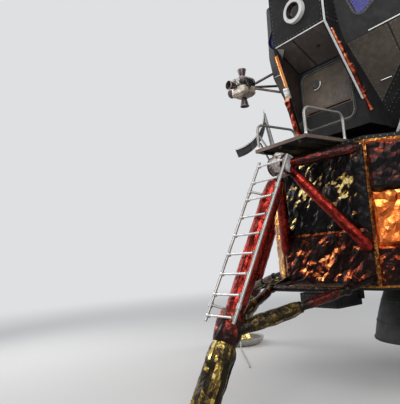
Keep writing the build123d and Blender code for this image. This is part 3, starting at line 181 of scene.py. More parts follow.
def noise_of(tree, where, scale, detail=6.0, rough=0.6, distortion=0.0):
    """Cloudy noise at a place, from coarse (low scale) to fine."""
    noise = tree.nodes.new("ShaderNodeTexNoise")
    noise.inputs["Scale"].default_value = scale
    noise.inputs["Detail"].default_value = detail
    noise.inputs["Roughness"].default_value = rough
    noise.inputs["Distortion"].default_value = distortion
    tree.links.new(where, noise.inputs["Vector"])
    return noise


def mixed(tree, share, first, second):
    """Two factors mixed: share 0 gives the first, 1 the second."""
    mix = tree.nodes.new("ShaderNodeMix")
    mix.inputs["Factor"].default_value = share
    tree.links.new(first, mix.inputs["A"])
    tree.links.new(second, mix.inputs["B"])
    return mix.outputs["Result"]


def kept_value(tree, name):
    """Value that each face of the mesh keeps under a name."""
    kept = tree.nodes.new("ShaderNodeAttribute")
    kept.attribute_name = name
    return kept.outputs["Fac"]


def raised(tree, shader, heights):
    """Chain of bumps: heights are (factor, strength, distance)."""
    last = None
    for factor, strength, distance in heights:
        bump = tree.nodes.new("ShaderNodeBump")
        bump.inputs["Strength"].default_value = strength
        bump.inputs["Distance"].default_value = distance
        tree.links.new(factor, bump.inputs["Height"])
        if last is not None:
            tree.links.new(last, bump.inputs["Normal"])
        last = bump.outputs["Normal"]
    tree.links.new(last, shader.inputs["Normal"])


def crumpled_film(
    name, tones, rough=(0.16, 0.42), crease=11.0, metallic=1.0, depth=0.02, glint_share=0.6,
    patchy=0.0, shine=0.5,
):
    """Metallised film with flat crumpled facets, each of its own tone, lighter as a painted glint where it
    tips towards a chosen direction.
    """
    material, tree, shader, where = new_finish(name, metallic, 0.3)
    shader.inputs["Specular IOR Level"].default_value = shine
    warp = noise_of(tree, where, 3.0, 3.0)
    bend = tree.nodes.new("ShaderNodeMixRGB")
    bend.blend_type = "ADD"
    bend.inputs["Fac"].default_value = 0.07
    tree.links.new(where, bend.inputs["Color1"])
    tree.links.new(warp.outputs["Color"], bend.inputs["Color2"])
    cells = []
    for scale in (crease, crease * 3.1):
        cell = tree.nodes.new("ShaderNodeTexVoronoi")
        cell.inputs["Scale"].default_value = scale
        tree.links.new(bend.outputs[0], cell.inputs["Vector"])
        tone = tree.nodes.new("ShaderNodeSeparateColor")
        tree.links.new(cell.outputs["Color"], tone.inputs[0])
        cells.append((cell.outputs["Distance"], tone.outputs[0]))
    (facets, facet_tone), (fine, fine_tone) = cells
    # Painted glints: a facet that tips towards a chosen direction gets a lighter tone, mixed with its own
    # random tone.
    factor = mixed(tree, glint_share, mixed(tree, 0.40, facet_tone, fine_tone), kept_value(tree, "painted_glint"))
    if patchy:
        patches = noise_of(tree, where, 2.6, 2.0, 0.5)
        factor = worked_out(
            tree, "ADD", factor, spread(tree, patches.outputs["Fac"], -patchy, patchy, 0.35, 0.65),
        )
    tree.links.new(ramp_of(tree, factor, tones), shader.inputs["Base Color"])
    dust = noise_of(tree, where, 26.0)
    tree.links.new(spread(tree, dust.outputs["Fac"], *rough), shader.inputs["Roughness"])
    wrinkle = noise_of(tree, bend.outputs[0], crease * 1.7, 5.0, 0.65, 1.4)
    raised(tree, shader, [
        (facets, 0.7, depth),
        (fine, 0.6, depth * 0.35),
        (wrinkle.outputs["Fac"], 0.45, depth * 0.5),
    ])
    return material


def coat(material, *names):
    """Gives a finish to every slot of some of the frame's own solids."""
    for name in names:
        for slot in cad_nodes[name].material_slots:
            slot.material = material


amber_film = crumpled_film("amber_film", [
    (0.0, (0.10, 0.035, 0.008)),
    (0.35, (0.42, 0.17, 0.035)),
    (0.62, (0.72, 0.36, 0.075)),
    (1.0, (0.95, 0.62, 0.20)),
])
coat(amber_film, "descent_structure")


# Film blankets on the octagon's sides: many layers of crumpled film, each blanket
# cut to its side, laid over the panel with a small gap and taped down round its
# edge. Front side's film painted near-black as shade, with painted gold glints; the
# others mostly amber.
def facing(normal, upright):
    """Rotation that turns a primitive's own Z to a normal and its Y towards upright."""
    out = Vector(normal).normalized()
    across = Vector(upright).cross(out).normalized()
    return Matrix((across, out.cross(across), out)).transposed().to_euler()


def pick(piece):
    """Makes a piece the only one selected, and the active one."""
    bpy.ops.object.select_all(action="DESELECT")
    piece.select_set(True)
    bpy.context.view_layer.objects.active = piece


def settle(piece):
    """Place, turn and size go into the mesh, so the object sits at the origin."""
    pick(piece)
    bpy.ops.object.transform_apply(location=True, rotation=True, scale=True)


def paint(piece, material):
    """Gives a piece one finish all over."""
    piece.data.materials.clear()
    piece.data.materials.append(material)


def dress(piece, material, body="vehicle"):
    """Gives a piece its finish and the body that carries it."""
    paint(piece, material)
    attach(piece, body)


def thicken(piece, thickness, offset=1):
    """Gives a sheet its thickness on the side it faces, or with -1 behind it."""
    wall = piece.modifiers.new("wall", "SOLIDIFY")
    wall.thickness = thickness
    wall.offset = offset


def soften(piece, width):
    """Rounds a piece's sharp edges off by a small width."""
    edge = piece.modifiers.new("edge", "BEVEL")
    edge.width = width
    edge.segments = 2
    edge.limit_method = "ANGLE"


def finish_modifiers(piece):
    """Works all of a piece's modifiers into its mesh."""
    pick(piece)
    for modifier in list(piece.modifiers):
        bpy.ops.object.modifier_apply(modifier=modifier.name)


def crumple_texture(name, kind, size):
    """Pattern that pushes film outwards: clouds for folds, cells for creases."""
    texture = bpy.data.textures.new(name, type=kind)
    texture.noise_scale = size
    return texture


film_thickness = 0.003
fold_pattern = crumple_texture("fold_pattern", "CLOUDS", 0.30)
crease_pattern = crumple_texture("crease_pattern", "VORONOI", 0.16)
fine_pattern = crumple_texture("fine_pattern", "VORONOI", 0.06)


def crease_heading(name, turn, stretch):
    """Empty whose turn and stretch give a crease pattern its direction."""
    bpy.ops.object.empty_add(rotation=turn)
    heading = bpy.context.object
    heading.name = name
    heading.scale = stretch
    return heading


creases_up = crease_heading("creases_up", (0.5, 0.6, 0.3), (0.75, 0.75, 2.0))
creases_down = crease_heading("creases_down", (-0.7, -0.4, 1.2), (0.7, 0.8, 2.2))
creases_along = crease_heading("creases_along", (0, 0, 0), (0.42, 0.42, 2.6))


def crumple(piece, folds, creases, fine, group="", keep=0.5, headings=(creases_up, creases_down)):
    """Pushes a sheet outwards like hand-crumpled film, then leaves flat facets."""
    pushes = [
        (fold_pattern, folds, None, 0.0), (crease_pattern, creases, headings[0], 1.0),
        (crease_pattern, creases * 0.7, headings[1], 1.0), (fine_pattern, fine, headings[0], 1.0),
    ]
    for texture, depth, heading, middle in pushes:
        push = piece.modifiers.new("push", "DISPLACE")
        push.texture = texture
        push.texture_coords = "OBJECT" if heading else "LOCAL"
        push.texture_coords_object = heading
        push.mid_level = middle
        push.strength = depth
        push.vertex_group = group
    thin = piece.modifiers.new("facets", "DECIMATE")
    thin.ratio = keep
    finish_modifiers(piece)


def paint_glints(piece, towards, steep=1.3):
    """Keeps how far each facet tips towards a direction, as painted glints in the film's tones."""
    towards = Vector(towards).normalized()
    painted_glint = piece.data.attributes.new("painted_glint", "FLOAT", "FACE")
    tips = [min(1.0, max(0.0, 0.5 + steep * face.normal.dot(towards))) for face in piece.data.polygons]
    painted_glint.data.foreach_set("value", tips)


def blanket(name, centre, normal, width, height, cells, depth, material, upright=(0, 0, 1), keep=0.30):
    """Crumpled film over a flat side, lying close to it round the edge."""
    bpy.ops.mesh.primitive_grid_add(
        x_subdivisions=int(width / cells), y_subdivisions=int(height / cells), size=1,
        location=centre, rotation=facing(normal, upright),
    )
    piece = bpy.context.object
    piece.name = name
    middle = piece.vertex_groups.new(name="middle")
    for corner in piece.data.vertices:
        edge = 0.5 - max(abs(corner.co.x), abs(corner.co.y))
        middle.add([corner.index], min(1.0, max(0.0, edge) * 14), "REPLACE")
    piece.scale = (width, height, 1)
    settle(piece)
    crumple(piece, depth, -0.6 * depth, -0.25 * depth, "middle", keep)
    out = Vector(normal).normalized()
    # Painted glints on the facets that face up and a little to one side.
    paint_glints(piece, Vector(upright) - 0.25 * Vector(upright).cross(out))
    thicken(piece, film_thickness, -1)
    finish_modifiers(piece)
    piece.vertex_groups.clear()
    dress(piece, material)
    return piece


# Front film: near-black as painted shade, with painted gold glints on facets that tip up.
shade_and_glint_film = crumpled_film("shade_and_glint_film", [
    (0.0, (0.005, 0.005, 0.006)),
    (0.66, (0.010, 0.008, 0.008)),
    (0.72, (0.070, 0.018, 0.009)),
    (0.78, (0.50, 0.30, 0.06)),
    (0.88, (0.95, 0.80, 0.34)),
], rough=(0.2, 0.42), crease=7.5, metallic=0.6, depth=0.012, glint_share=0.62, patchy=0.24, shine=0.1)
red_gold_film = crumpled_film("red_gold_film", [
    (0.0, (0.008, 0.005, 0.005)),
    (0.50, (0.020, 0.008, 0.006)),
    (0.60, (0.24, 0.030, 0.012)),
    (0.74, (0.80, 0.22, 0.050)),
    (0.90, (0.95, 0.60, 0.22)),
], rough=(0.2, 0.42), crease=9.0, metallic=0.7, depth=0.012, glint_share=0.66, patchy=0.24, shine=0.1)
black_film = crumpled_film("black_film", [
    (0.0, (0.005, 0.005, 0.006)),
    (0.60, (0.012, 0.009, 0.009)),
    (0.86, (0.060, 0.012, 0.008)),
    (0.96, (0.42, 0.065, 0.025)),
], rough=(0.25, 0.5), crease=5.0, metallic=0.6, depth=0.010, glint_share=0.86, shine=0.1)
orange_film = crumpled_film("orange_film", [
    (0.0, (0.10, 0.014, 0.004)),
    (0.30, (0.42, 0.085, 0.018)),
    (0.65, (0.76, 0.20, 0.045)),
    (1.0, (0.95, 0.42, 0.13)),
], rough=(0.18, 0.42), crease=5.0, glint_share=0.45)


def heading_at(degrees):
    """Level direction at an angle round the lander, 0 along +X."""
    angle = math.radians(degrees)
    return Vector((math.cos(angle), math.sin(angle), 0))


stage_low, stage_high = 1.50, 3.10
leg_reach, leg_half = 2.108, 0.686
corner_reach, corner_half = 1.9757, 1.0055
film_lift, front_film_lift = 0.006, 0.018
film_cells, film_push = 0.020, 0.055
side_films = [
    ("front", 0, 2.10, stage_high, shade_and_glint_film), ("front_sill", 0, stage_low, 2.168, red_gold_film),
    ("left", 90, stage_low, stage_high, amber_film), ("rear", 180, stage_low, stage_high, amber_film),
    ("right", 270, stage_low, stage_high, amber_film),
]
for side, turn, low, high, film in side_films:
    out = heading_at(turn - 90)
    blanket(
        "film_blanket_" + side,
        out * (leg_reach + (front_film_lift if side == "front" else film_lift))
        + Vector((0, 0, (low + high) / 2)),
        out, 2 * leg_half - 0.03, high - low, film_cells, film_push, film,
    )
corner_films = [
    ("front_right", 315, amber_film), ("rear_right", 225, orange_film), ("rear_left", 135, amber_film),
]
for side, turn, film in corner_films:
    out = heading_at(turn - 90)
    blanket(
        "film_blanket_" + side,
        out * (corner_reach + film_lift) + Vector((0, 0, (stage_low + stage_high) / 2)),
        out, 2 * corner_half - 0.04, stage_high - stage_low, 0.026, film_push, film,
    )
# Beside the equipment pallet the front left corner has two strips and a sill.
out = heading_at(45 - 90)
along = Vector((0, 0, 1)).cross(out)
pallet_half, pallet_low, pallet_high = 0.56, 1.70, 2.76
strip_width = corner_half - pallet_half - 0.03
bands = [
    (stage_low, 1.93, red_gold_film, 0.3), (1.92, 2.55, orange_film, 0.10),
    (2.54, stage_high, black_film, 0.3),
]
for label, side in (("inner", -1), ("outer", 1)):
    centre = out * (corner_reach + film_lift) + along * side * (pallet_half + 0.012 + strip_width / 2)
    for index, (low, high, film, keep) in enumerate(bands):
        blanket(
            "film_strip_" + label + "_" + str(index),
            centre + out * 0.007 * index + Vector((0, 0, (low + high) / 2)), out,
            strip_width, high - low, 0.018, 0.045, film, keep=keep,
        )
for label, low, high, film in (
    ("sill", stage_low, pallet_low - 0.02, red_gold_film),
    ("header", pallet_high + 0.02, stage_high, black_film),
):
    centre = out * (corner_reach + film_lift) + Vector((0, 0, (low + high) / 2))
    blanket("film_" + label, centre, out, 2 * pallet_half, high - low, 0.020, 0.030, film)


# Equipment pallet's cover: orange film stretched over a flat lid and taped at its
# rim, so it is smoother in the middle than the blankets beside it.
lid_centre = out * (corner_reach + 0.158) + Vector((0, 0, 2.23))
pallet_cover = blanket(
    "pallet_cover", lid_centre, out, 2 * pallet_half - 0.05, 0.58, 0.022, 0.030, orange_film,
)
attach(pallet_cover, "stowage_pallet")
coat(orange_film, "stowage_pallet")


# Descent stage's deck, base shield and edge trim: thin black nickel sheet, riveted
# along the panels' edges, dull where dust and hands have rubbed it.
def sheet_metal(name, tones, metallic, rough, ripple=0.004, sheets=0.0, shine=0.5):
    """Thin sheet that ripples a little between its rivets, with rubbed patches."""
    material, tree, shader, where = new_finish(name, metallic, 0.5)
    shader.inputs["Specular IOR Level"].default_value = shine
    clouds = noise_of(tree, where, 2.2, 8.0, 0.62, 0.6)
    stains = noise_of(tree, where, 14.0, 9.0, 0.7)
    rubbed = mixed(tree, 0.42, clouds.outputs["Fac"], stains.outputs["Fac"])
    patchy = spread(tree, rubbed, 0.0, 1.0, 0.34, 0.66)
    if sheets:
        patchy = mixed(tree, sheets, patchy, kept_value(tree, "sheet_tone"))
    tree.links.new(ramp_of(tree, patchy, tones), shader.inputs["Base Color"])
    smear = noise_of(tree, where, 5.0, 10.0, 0.75, 1.0)
    tree.links.new(spread(tree, smear.outputs["Fac"], *rough), shader.inputs["Roughness"])
    swell = noise_of(tree, where, 3.4, 2.0, 0.4)
    grain = noise_of(tree, where, 160.0, 4.0, 0.6)
    raised(tree, shader, [
        (swell.outputs["Fac"], 0.6, ripple * 6),
        (grain.outputs["Fac"], 0.25, 0.0006),
    ])
    return material


black_sheet = sheet_metal("black_sheet", [
    (0.0, (0.007, 0.007, 0.008)), (0.5, (0.014, 0.013, 0.013)), (1.0, (0.034, 0.032, 0.030)),
], 0.1, (0.46, 0.70), shine=0.18)
# Cheeks' olive anodised tone, darkened as painted shade, more than the alcove's and the hatch's.
cheek_olive_shaded = sheet_metal("cheek_olive_shaded", [
    (0.0, (0.024, 0.018, 0.013)), (0.5, (0.042, 0.032, 0.024)), (1.0, (0.075, 0.060, 0.046)),
], 0.2, (0.42, 0.64), shine=0.3)
grey_sheet = sheet_metal("grey_sheet", [
    (0.0, (0.16, 0.155, 0.15)), (0.5, (0.24, 0.235, 0.225)), (1.0, (0.34, 0.33, 0.32)),
], 0.6, (0.35, 0.6))
coat(black_sheet, "base_heat_shield", "descent_deck", "landing_radar", "radar_hangers")


# Outriggers: tubes from the stage's corners to the strut heads, each wrapped along
# its length in crumpled red film that is tied off at both ends. Modelled for the
# front leg and copied round to the other three.
def edit_all(kind):
    """Opens the active piece for editing with all of it selected."""
    bpy.ops.object.mode_set(mode="EDIT")
    bpy.ops.mesh.select_mode(type=kind)
    bpy.ops.mesh.select_all(action="SELECT")


tied_length = 0.09


def crumpled_sleeve(name, start, end, radius, around, rings, depth, material):
    """Film wrapped round a tube from start to end, gathered and tied at its ends."""
    start, end = Vector(start), Vector(end)
    run = end - start
    bpy.ops.mesh.primitive_circle_add(
        vertices=around, radius=radius, location=start, rotation=run.to_track_quat("Z", "Y").to_euler(),
    )
    piece = bpy.context.object
    piece.name = name
    edit_all("VERT")
    for ring in range(rings):
        bpy.ops.mesh.extrude_region_move(TRANSFORM_OT_translate={"value": run / rings})
    bpy.ops.mesh.select_all(action="SELECT")
    bpy.ops.mesh.fill_holes(sides=0)
    bpy.ops.mesh.normals_make_consistent(inside=False)
    bpy.ops.object.mode_set(mode="OBJECT")
    loose = piece.vertex_groups.new(name="loose")
    along = run.normalized()
    settle(piece)
    for corner in piece.data.vertices:
        share = (corner.co - start).dot(along) / run.length
        slack = min(abs(share), abs(share - 1.0)) * run.length / tied_length
        loose.add([corner.index], min(1.0, max(0.0, slack)), "REPLACE")
    creases_along.rotation_euler = run.to_track_quat("Z", "Y").to_euler()
    crumple(piece, depth * 0.5, -1.0 * depth, -0.4 * depth, "loose", 0.6, (creases_along, creases_down))
    # Painted glints and shade: the film's tones follow how far each facet leans sideways round the tube and
    # towards its end, so one side of every crease is lit and the other shaded.
    glint_levels = []
    for face in piece.data.polygons:
        sideways = along.cross(face.center - start).normalized()
        glint_level = 0.5 + 1.1 * face.normal.dot(sideways) + 0.6 * face.normal.dot(along)
        glint_levels.append(min(1.0, max(0.0, glint_level)))
    painted_glint = piece.data.attributes.new("painted_glint", "FLOAT", "FACE")
    painted_glint.data.foreach_set("value", glint_levels)
    piece.vertex_groups.clear()
    paint(piece, material)
    return piece


def copied_round(piece, stem, turns):
    """Copies of a front leg's piece, each with its own mesh, turned to the other legs."""
    for leg, turn in turns:
        twin = piece.copy()
        twin.data = piece.data.copy()
        twin.name = stem + "_" + leg
        bpy.context.collection.objects.link(twin)
        twin.rotation_euler = (0, 0, math.radians(turn))
        settle(twin)
        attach(twin, "vehicle")
    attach(piece, "vehicle")


def on_each_leg(stem):
    """Names of the four legs' solids of one kind."""
    return [stem + "_" + leg for leg in ("front", "left", "rear", "right")]


def joined(pieces, name):
    """Makes one named piece of several."""
    bpy.ops.object.select_all(action="DESELECT")
    for piece in pieces:
        piece.select_set(True)
    bpy.context.view_layer.objects.active = pieces[0]
    bpy.ops.object.join()
    pieces[0].name = name
    return pieces[0]


red_film = crumpled_film("red_film", [
    (0.0, (0.018, 0.003, 0.003)),
    (0.42, (0.110, 0.010, 0.008)),
    (0.66, (0.34, 0.032, 0.022)),
    (0.86, (0.62, 0.11, 0.070)),
    (1.0, (0.88, 0.42, 0.33)),
], rough=(0.2, 0.45), crease=14.0, depth=0.010, glint_share=0.72)
red_on_black = crumpled_film("red_on_black", [
    (0.0, (0.008, 0.006, 0.006)),
    (0.50, (0.022, 0.009, 0.008)),
    (0.68, (0.13, 0.016, 0.010)),
    (0.84, (0.42, 0.085, 0.038)),
    (0.96, (0.80, 0.44, 0.16)),
], rough=(0.2, 0.48), crease=15.0, metallic=0.9, depth=0.012, glint_share=0.72)
other_legs = [("left", 90), ("rear", 180), ("right", 270)]
head_height, foot_height, collar_height = 2.94, 0.255, 1.21
strut_head, strut_foot = Vector((0, -2.73, head_height)), Vector((0, -4.242, foot_height))
outrigger_feet = [(0.632, 3.06), (0.632, 1.907)]
wraps = []
for side in (-1, 1):
    for across, height in outrigger_feet:
        foot = Vector((side * across, -leg_reach - 0.012, height))
        head = Vector((side * 0.06, -2.73, 2.94))
        end = foot + (head - foot) * 0.86
        # Upper tubes, under the porch, take the darker red film as painted shade.
        film = red_on_black if height > 2 else red_film
        wraps.append(crumpled_sleeve("wrap", foot, end, 0.053, 26, 44, 0.009, film))
outrigger_wrap = joined(wraps, "outrigger_wraps_front")
copied_round(outrigger_wrap, "outrigger_wraps", other_legs)
coat(red_film, *on_each_leg("outrigger"))

# Head of each primary strut: a pin housing in crumpled pale film, painted mostly
# dark as shade with painted pale highlights, and bare metal end caps, where the
# outrigger's four tubes meet.
pale_film = crumpled_film("pale_film", [
    (0.0, (0.30, 0.28, 0.27)),
    (0.5, (0.62, 0.60, 0.58)),
    (1.0, (0.90, 0.88, 0.86)),
], rough=(0.3, 0.55), crease=12.0, metallic=0.35, depth=0.014)
# Pale film painted mostly dark as shade, with painted pale highlights.
pale_film_shaded = crumpled_film("pale_film_shaded", [
    (0.0, (0.010, 0.009, 0.009)),
    (0.45, (0.045, 0.035, 0.032)),
    (0.62, (0.30, 0.24, 0.21)),
    (0.80, (0.78, 0.75, 0.72)),
], rough=(0.25, 0.5), crease=14.0, metallic=0.6, depth=0.014)
brushed_metal = sheet_metal("brushed_metal", [
    (0.0, (0.36, 0.355, 0.345)), (0.5, (0.50, 0.495, 0.485)), (1.0, (0.64, 0.635, 0.62)),
], 0.85, (0.26, 0.46), ripple=0.0008)
head_wrap = crumpled_sleeve(
    "strut_head_wrap_front", strut_head - Vector((0.095, 0, 0)), strut_head + Vector((0.095, 0, 0)),
    0.116, 34, 14, 0.026, pale_film_shaded,
)
copied_round(head_wrap, "strut_head_wrap", other_legs)
caps = []
for side in (-1, 1):
    bpy.ops.mesh.primitive_cylinder_add(
        vertices=28, radius=0.105, depth=0.012, location=strut_head + Vector((side * 0.121, 0, 0)),
        rotation=(0, math.pi / 2, 0),
    )
    cap = bpy.context.object
    bpy.ops.object.mode_set(mode="EDIT")
    bpy.ops.mesh.select_all(action="DESELECT")
    bpy.ops.object.mode_set(mode="OBJECT")
    settle(cap)
    for face in cap.data.polygons:
        face.select = face.normal.x * side > 0.9
    bpy.ops.object.mode_set(mode="EDIT")
    bpy.ops.mesh.select_mode(type="FACE")
    bpy.ops.mesh.inset(thickness=0.022, depth=-0.004)
    bpy.ops.mesh.inset(thickness=0.045, depth=0.010)
    bpy.ops.object.mode_set(mode="OBJECT")
    soften(cap, 0.002)
    finish_modifiers(cap)
    caps.append(cap)
head_caps = joined(caps, "strut_head_caps_front")
paint(head_caps, brushed_metal)
copied_round(head_caps, "strut_head_caps", other_legs)


# Primary struts: upper cylinder in red film, lower piston in a thick loose wrap of
# black film with painted gold glints, tied off under a collar of dark red film.
def on_strut(share):
    """Point on the front strut's axis, from the ball at 0 to the head at 1."""
    return strut_foot + (strut_head - strut_foot) * share


# Black film whose gold is painted glints, on facets that tip one way.
black_film_gold_glints = crumpled_film("black_film_gold_glints", [
    (0.0, (0.008, 0.007, 0.006)),
    (0.50, (0.022, 0.016, 0.008)),
    (0.66, (0.14, 0.085, 0.020)),
    (0.80, (0.56, 0.40, 0.10)),
    (0.92, (0.95, 0.80, 0.36)),
], rough=(0.2, 0.48), crease=15.0, metallic=0.9, depth=0.012, glint_share=0.7)
strut_wraps = [
    ("strut_upper_wrap", 0.42, 0.915, 0.093, 32, 56, 0.013, red_film),
    ("strut_lower_wrap", 0.075, 0.325, 0.102, 32, 40, 0.026, black_film_gold_glints),
    ("strut_collar_wrap", 0.315, 0.420, 0.124, 34, 22, 0.018, red_on_black),
]
for stem, low, high, radius, around, rings, depth, film in strut_wraps:
    wrap = crumpled_sleeve(
        stem + "_front", on_strut(low), on_strut(high), radius, around, rings, depth, film,
    )
    copied_round(wrap, stem, other_legs)
coat(black_film_gold_glints, *on_each_leg("primary_strut"))


# Secondary struts and deployment trusses: telescopic tubes, the outer one wrapped in
# black film with painted gold glints, the inner one and the trusses in dark red.
collar_centre = on_strut((collar_height - foot_height) / (head_height - foot_height))
struts = []
for side in (-1, 1):
    start = collar_centre + Vector((side * 0.067, 0, 0))
    end = Vector((side * 0.56, -2.52, 1.50))
    run = end - start
    struts.append(crumpled_sleeve(
        "wrap", start + run * 0.10, start + run * 0.57, 0.059, 24, 42, 0.014, black_film_gold_glints,
    ))
    struts.append(crumpled_sleeve(
        "wrap", start + run * 0.60, start + run * 0.93, 0.042, 20, 26, 0.010, red_on_black,
    ))
secondary_wrap = joined(struts, "secondary_wraps_front")
copied_round(secondary_wrap, "secondary_wraps", other_legs)
coat(red_on_black, "deployment_trusses")
coat(black_film_gold_glints, *on_each_leg("secondary_struts"))


# Footpads: spun aluminium honeycomb dishes, bare and dusty below, with film laid
# over the dished top and gathered round the strut's ball, black with painted gold
# glints.
pad_centre, pad_rim, rim_height = Vector((0, -4.242, 0)), 0.428, 0.134
bpy.ops.mesh.primitive_circle_add(
    vertices=48, radius=pad_rim, location=pad_centre + Vector((0, 0, rim_height)),
)
pad_film = bpy.context.object
pad_film.name = "footpad_film_front"
edit_all("VERT")
pad_profile = [
    (0.395, 0.118), (0.36, 0.106), (0.32, 0.101), (0.28, 0.098), (0.24, 0.100), (0.205, 0.120),
    (0.178, 0.160), (0.158, 0.205), (0.146, 0.245), (0.140, 0.275), (0.118, 0.288),
]
last_radius, last_height = pad_rim, rim_height
for radius, height in pad_profile:
    bpy.ops.mesh.extrude_region_move(TRANSFORM_OT_translate={"value": (0, 0, height - last_height)})
    shrink = radius / last_radius
    bpy.ops.transform.resize(
        value=(shrink, shrink, 1), center_override=pad_centre + Vector((0, 0, height)),
    )
    last_radius, last_height = radius, height
bpy.ops.mesh.select_all(action="SELECT")
bpy.ops.mesh.subdivide(number_cuts=1)
bpy.ops.mesh.normals_make_consistent(inside=False)
bpy.ops.object.mode_set(mode="OBJECT")
settle(pad_film)
lying = pad_film.vertex_groups.new(name="lying")
for corner in pad_film.data.vertices:
    reach = (Vector((corner.co.x, corner.co.y, 0)) - pad_centre).length
    lying.add([corner.index], min(1.0, max(0.05, (pad_rim - reach) * 12)), "REPLACE")
if sum(face.normal.z for face in pad_film.data.polygons) < 0:
    pad_film.data.flip_normals()
crumple(pad_film, 0.024, -0.012, -0.006, "lying", 0.6)
# Painted glints on the facets that face towards +x and +y.
paint_glints(pad_film, (0.7, 0.7, 0))
thicken(pad_film, film_thickness, -1)
finish_modifiers(pad_film)
pad_film.vertex_groups.clear()
paint(pad_film, black_film_gold_glints)
copied_round(pad_film, "footpad_film", other_legs)
pad_metal = sheet_metal("pad_metal", [
    (0.0, (0.30, 0.28, 0.25)), (0.5, (0.42, 0.40, 0.37)), (1.0, (0.55, 0.535, 0.51)),
], 0.55, (0.45, 0.7), ripple=0.002)
coat(pad_metal, *on_each_leg("footpad"), "contact_probes")


# Ladder on the front strut: thin-walled aluminium tubes, the rails dull from
# handling, the rungs brighter and each flared where it is riveted to the rails.
rail_metal = sheet_metal("rail_metal", [
    (0.0, (0.20, 0.185, 0.175)), (0.5, (0.30, 0.285, 0.27)), (1.0, (0.42, 0.405, 0.39)),
], 0.7, (0.34, 0.55), ripple=0.0006)
rung_metal = sheet_metal("rung_metal", [
    (0.0, (0.44, 0.43, 0.42)), (0.5, (0.58, 0.57, 0.56)), (1.0, (0.72, 0.71, 0.70)),
], 0.8, (0.25, 0.42), ripple=0.0006)
coat(rail_metal, "ladder_rails")
coat(rung_metal, "ladder_rungs", "small_antennas")
coat(rail_metal, "porch_handrails")
ladder_up = (strut_head - strut_foot).normalized()
ladder_out = Vector((0, ladder_up.y, ladder_up.z)).cross(Vector((1, 0, 0)))
if ladder_out.y > 0:
    ladder_out = -ladder_out
strut_length = (strut_head - strut_foot).length
first_rung, rung_pitch, rung_count = strut_length - 0.060, 0.229, 9


def repeat(piece, count, step):
    """Row of a piece, each one step on from the last."""
    row = piece.modifiers.new("row", "ARRAY")
    row.count = count
    row.use_relative_offset = False
    row.use_constant_offset = True
    row.constant_offset_displace = step


ladder_reach, rung_half, rail_half = 0.145, 0.197, 0.225
ferrules = []
for side in (-1, 1):
    place = strut_foot + ladder_up * first_rung + ladder_out * ladder_reach + Vector((side * rung_half, 0, 0))
    bpy.ops.mesh.primitive_cylinder_add(
        vertices=16, radius=0.0165, depth=0.020, location=place, rotation=(0, math.pi / 2, 0),
    )
    ferrule = bpy.context.object
    settle(ferrule)
    for face in ferrule.data.polygons:
        face.select = face.normal.x * side > 0.9
    bpy.ops.object.mode_set(mode="EDIT")
    bpy.ops.mesh.select_mode(type="FACE")
    bpy.ops.mesh.extrude_region_move(TRANSFORM_OT_translate={"value": (side * 0.006, 0, 0)})
    bpy.ops.transform.resize(value=(1, 1.5, 1.5))
    bpy.ops.object.mode_set(mode="OBJECT")
    repeat(ferrule, rung_count, -ladder_up * rung_pitch)
    soften(ferrule, 0.0015)
    finish_modifiers(ferrule)
    ferrules.append(ferrule)
rung_ferrules = joined(ferrules, "rung_ferrules")
dress(rung_ferrules, rung_metal)

# Ladder clamps: short split sleeves of aluminium that bolt the rails to the arms
# from the strut.
clamps = []
for along in (first_rung - 1.5 * rung_pitch, first_rung - 7.5 * rung_pitch):
    for side in (-1, 1):
        place = strut_foot + ladder_up * along + ladder_out * ladder_reach
        place += Vector((side * rail_half, 0, 0))
        bpy.ops.mesh.primitive_cylinder_add(
            vertices=20, radius=0.022, depth=0.060, location=place,
            rotation=ladder_up.to_track_quat("Z", "Y").to_euler(),
        )
        clamp = bpy.context.object
        bpy.ops.object.mode_set(mode="EDIT")
        bpy.ops.mesh.select_mode(type="FACE")
        bpy.ops.mesh.select_all(action="DESELECT")
        bpy.ops.object.mode_set(mode="OBJECT")
        for face in clamp.data.polygons:
            face.select = abs(face.normal.z) < 0.2 and face.index % 5 < 2
        bpy.ops.object.mode_set(mode="EDIT")
        bpy.ops.mesh.inset(thickness=0.003, depth=0.003)
        bpy.ops.object.mode_set(mode="OBJECT")
        settle(clamp)
        clamps.append(clamp)
ladder_clamps = joined(clamps, "ladder_clamps")
dress(ladder_clamps, rail_metal)


# Porch: corrugated aluminium plate on a light frame, painted dull black, with a
# brown anodised edge, bare metal on the treads and three channels underneath.
def sheet_panel(corners, out, thickness=0.003, gap=0.003, soft=0.0012):
    """Flat sheet on the given corners that faces out, a little smaller all round."""
    bpy.ops.mesh.primitive_circle_add(vertices=len(corners), fill_type="NGON")
    panel = bpy.context.object
    for corner, place in zip(panel.data.vertices, corners):
        corner.co = place
    panel.data.update()
    if panel.data.polygons[0].normal.dot(Vector(out)) < 0:
        panel.data.flip_normals()
    edit_all("FACE")
    if gap:
        bpy.ops.mesh.inset(thickness=gap)
        bpy.ops.mesh.select_all(action="INVERT")
        bpy.ops.mesh.delete(type="FACE")
    bpy.ops.object.mode_set(mode="OBJECT")
    thicken(panel, thickness)
    soften(panel, soft)
    finish_modifiers(panel)
    return panel


bpy.ops.mesh.primitive_circle_add(vertices=7, radius=1, fill_type="NGON")
rivet_head = bpy.context.object
edit_all("FACE")
bpy.ops.mesh.extrude_region_move(TRANSFORM_OT_translate={"value": (0, 0, 0.5)})
bpy.ops.transform.resize(value=(0.55, 0.55, 0.55))
bpy.ops.object.mode_set(mode="OBJECT")


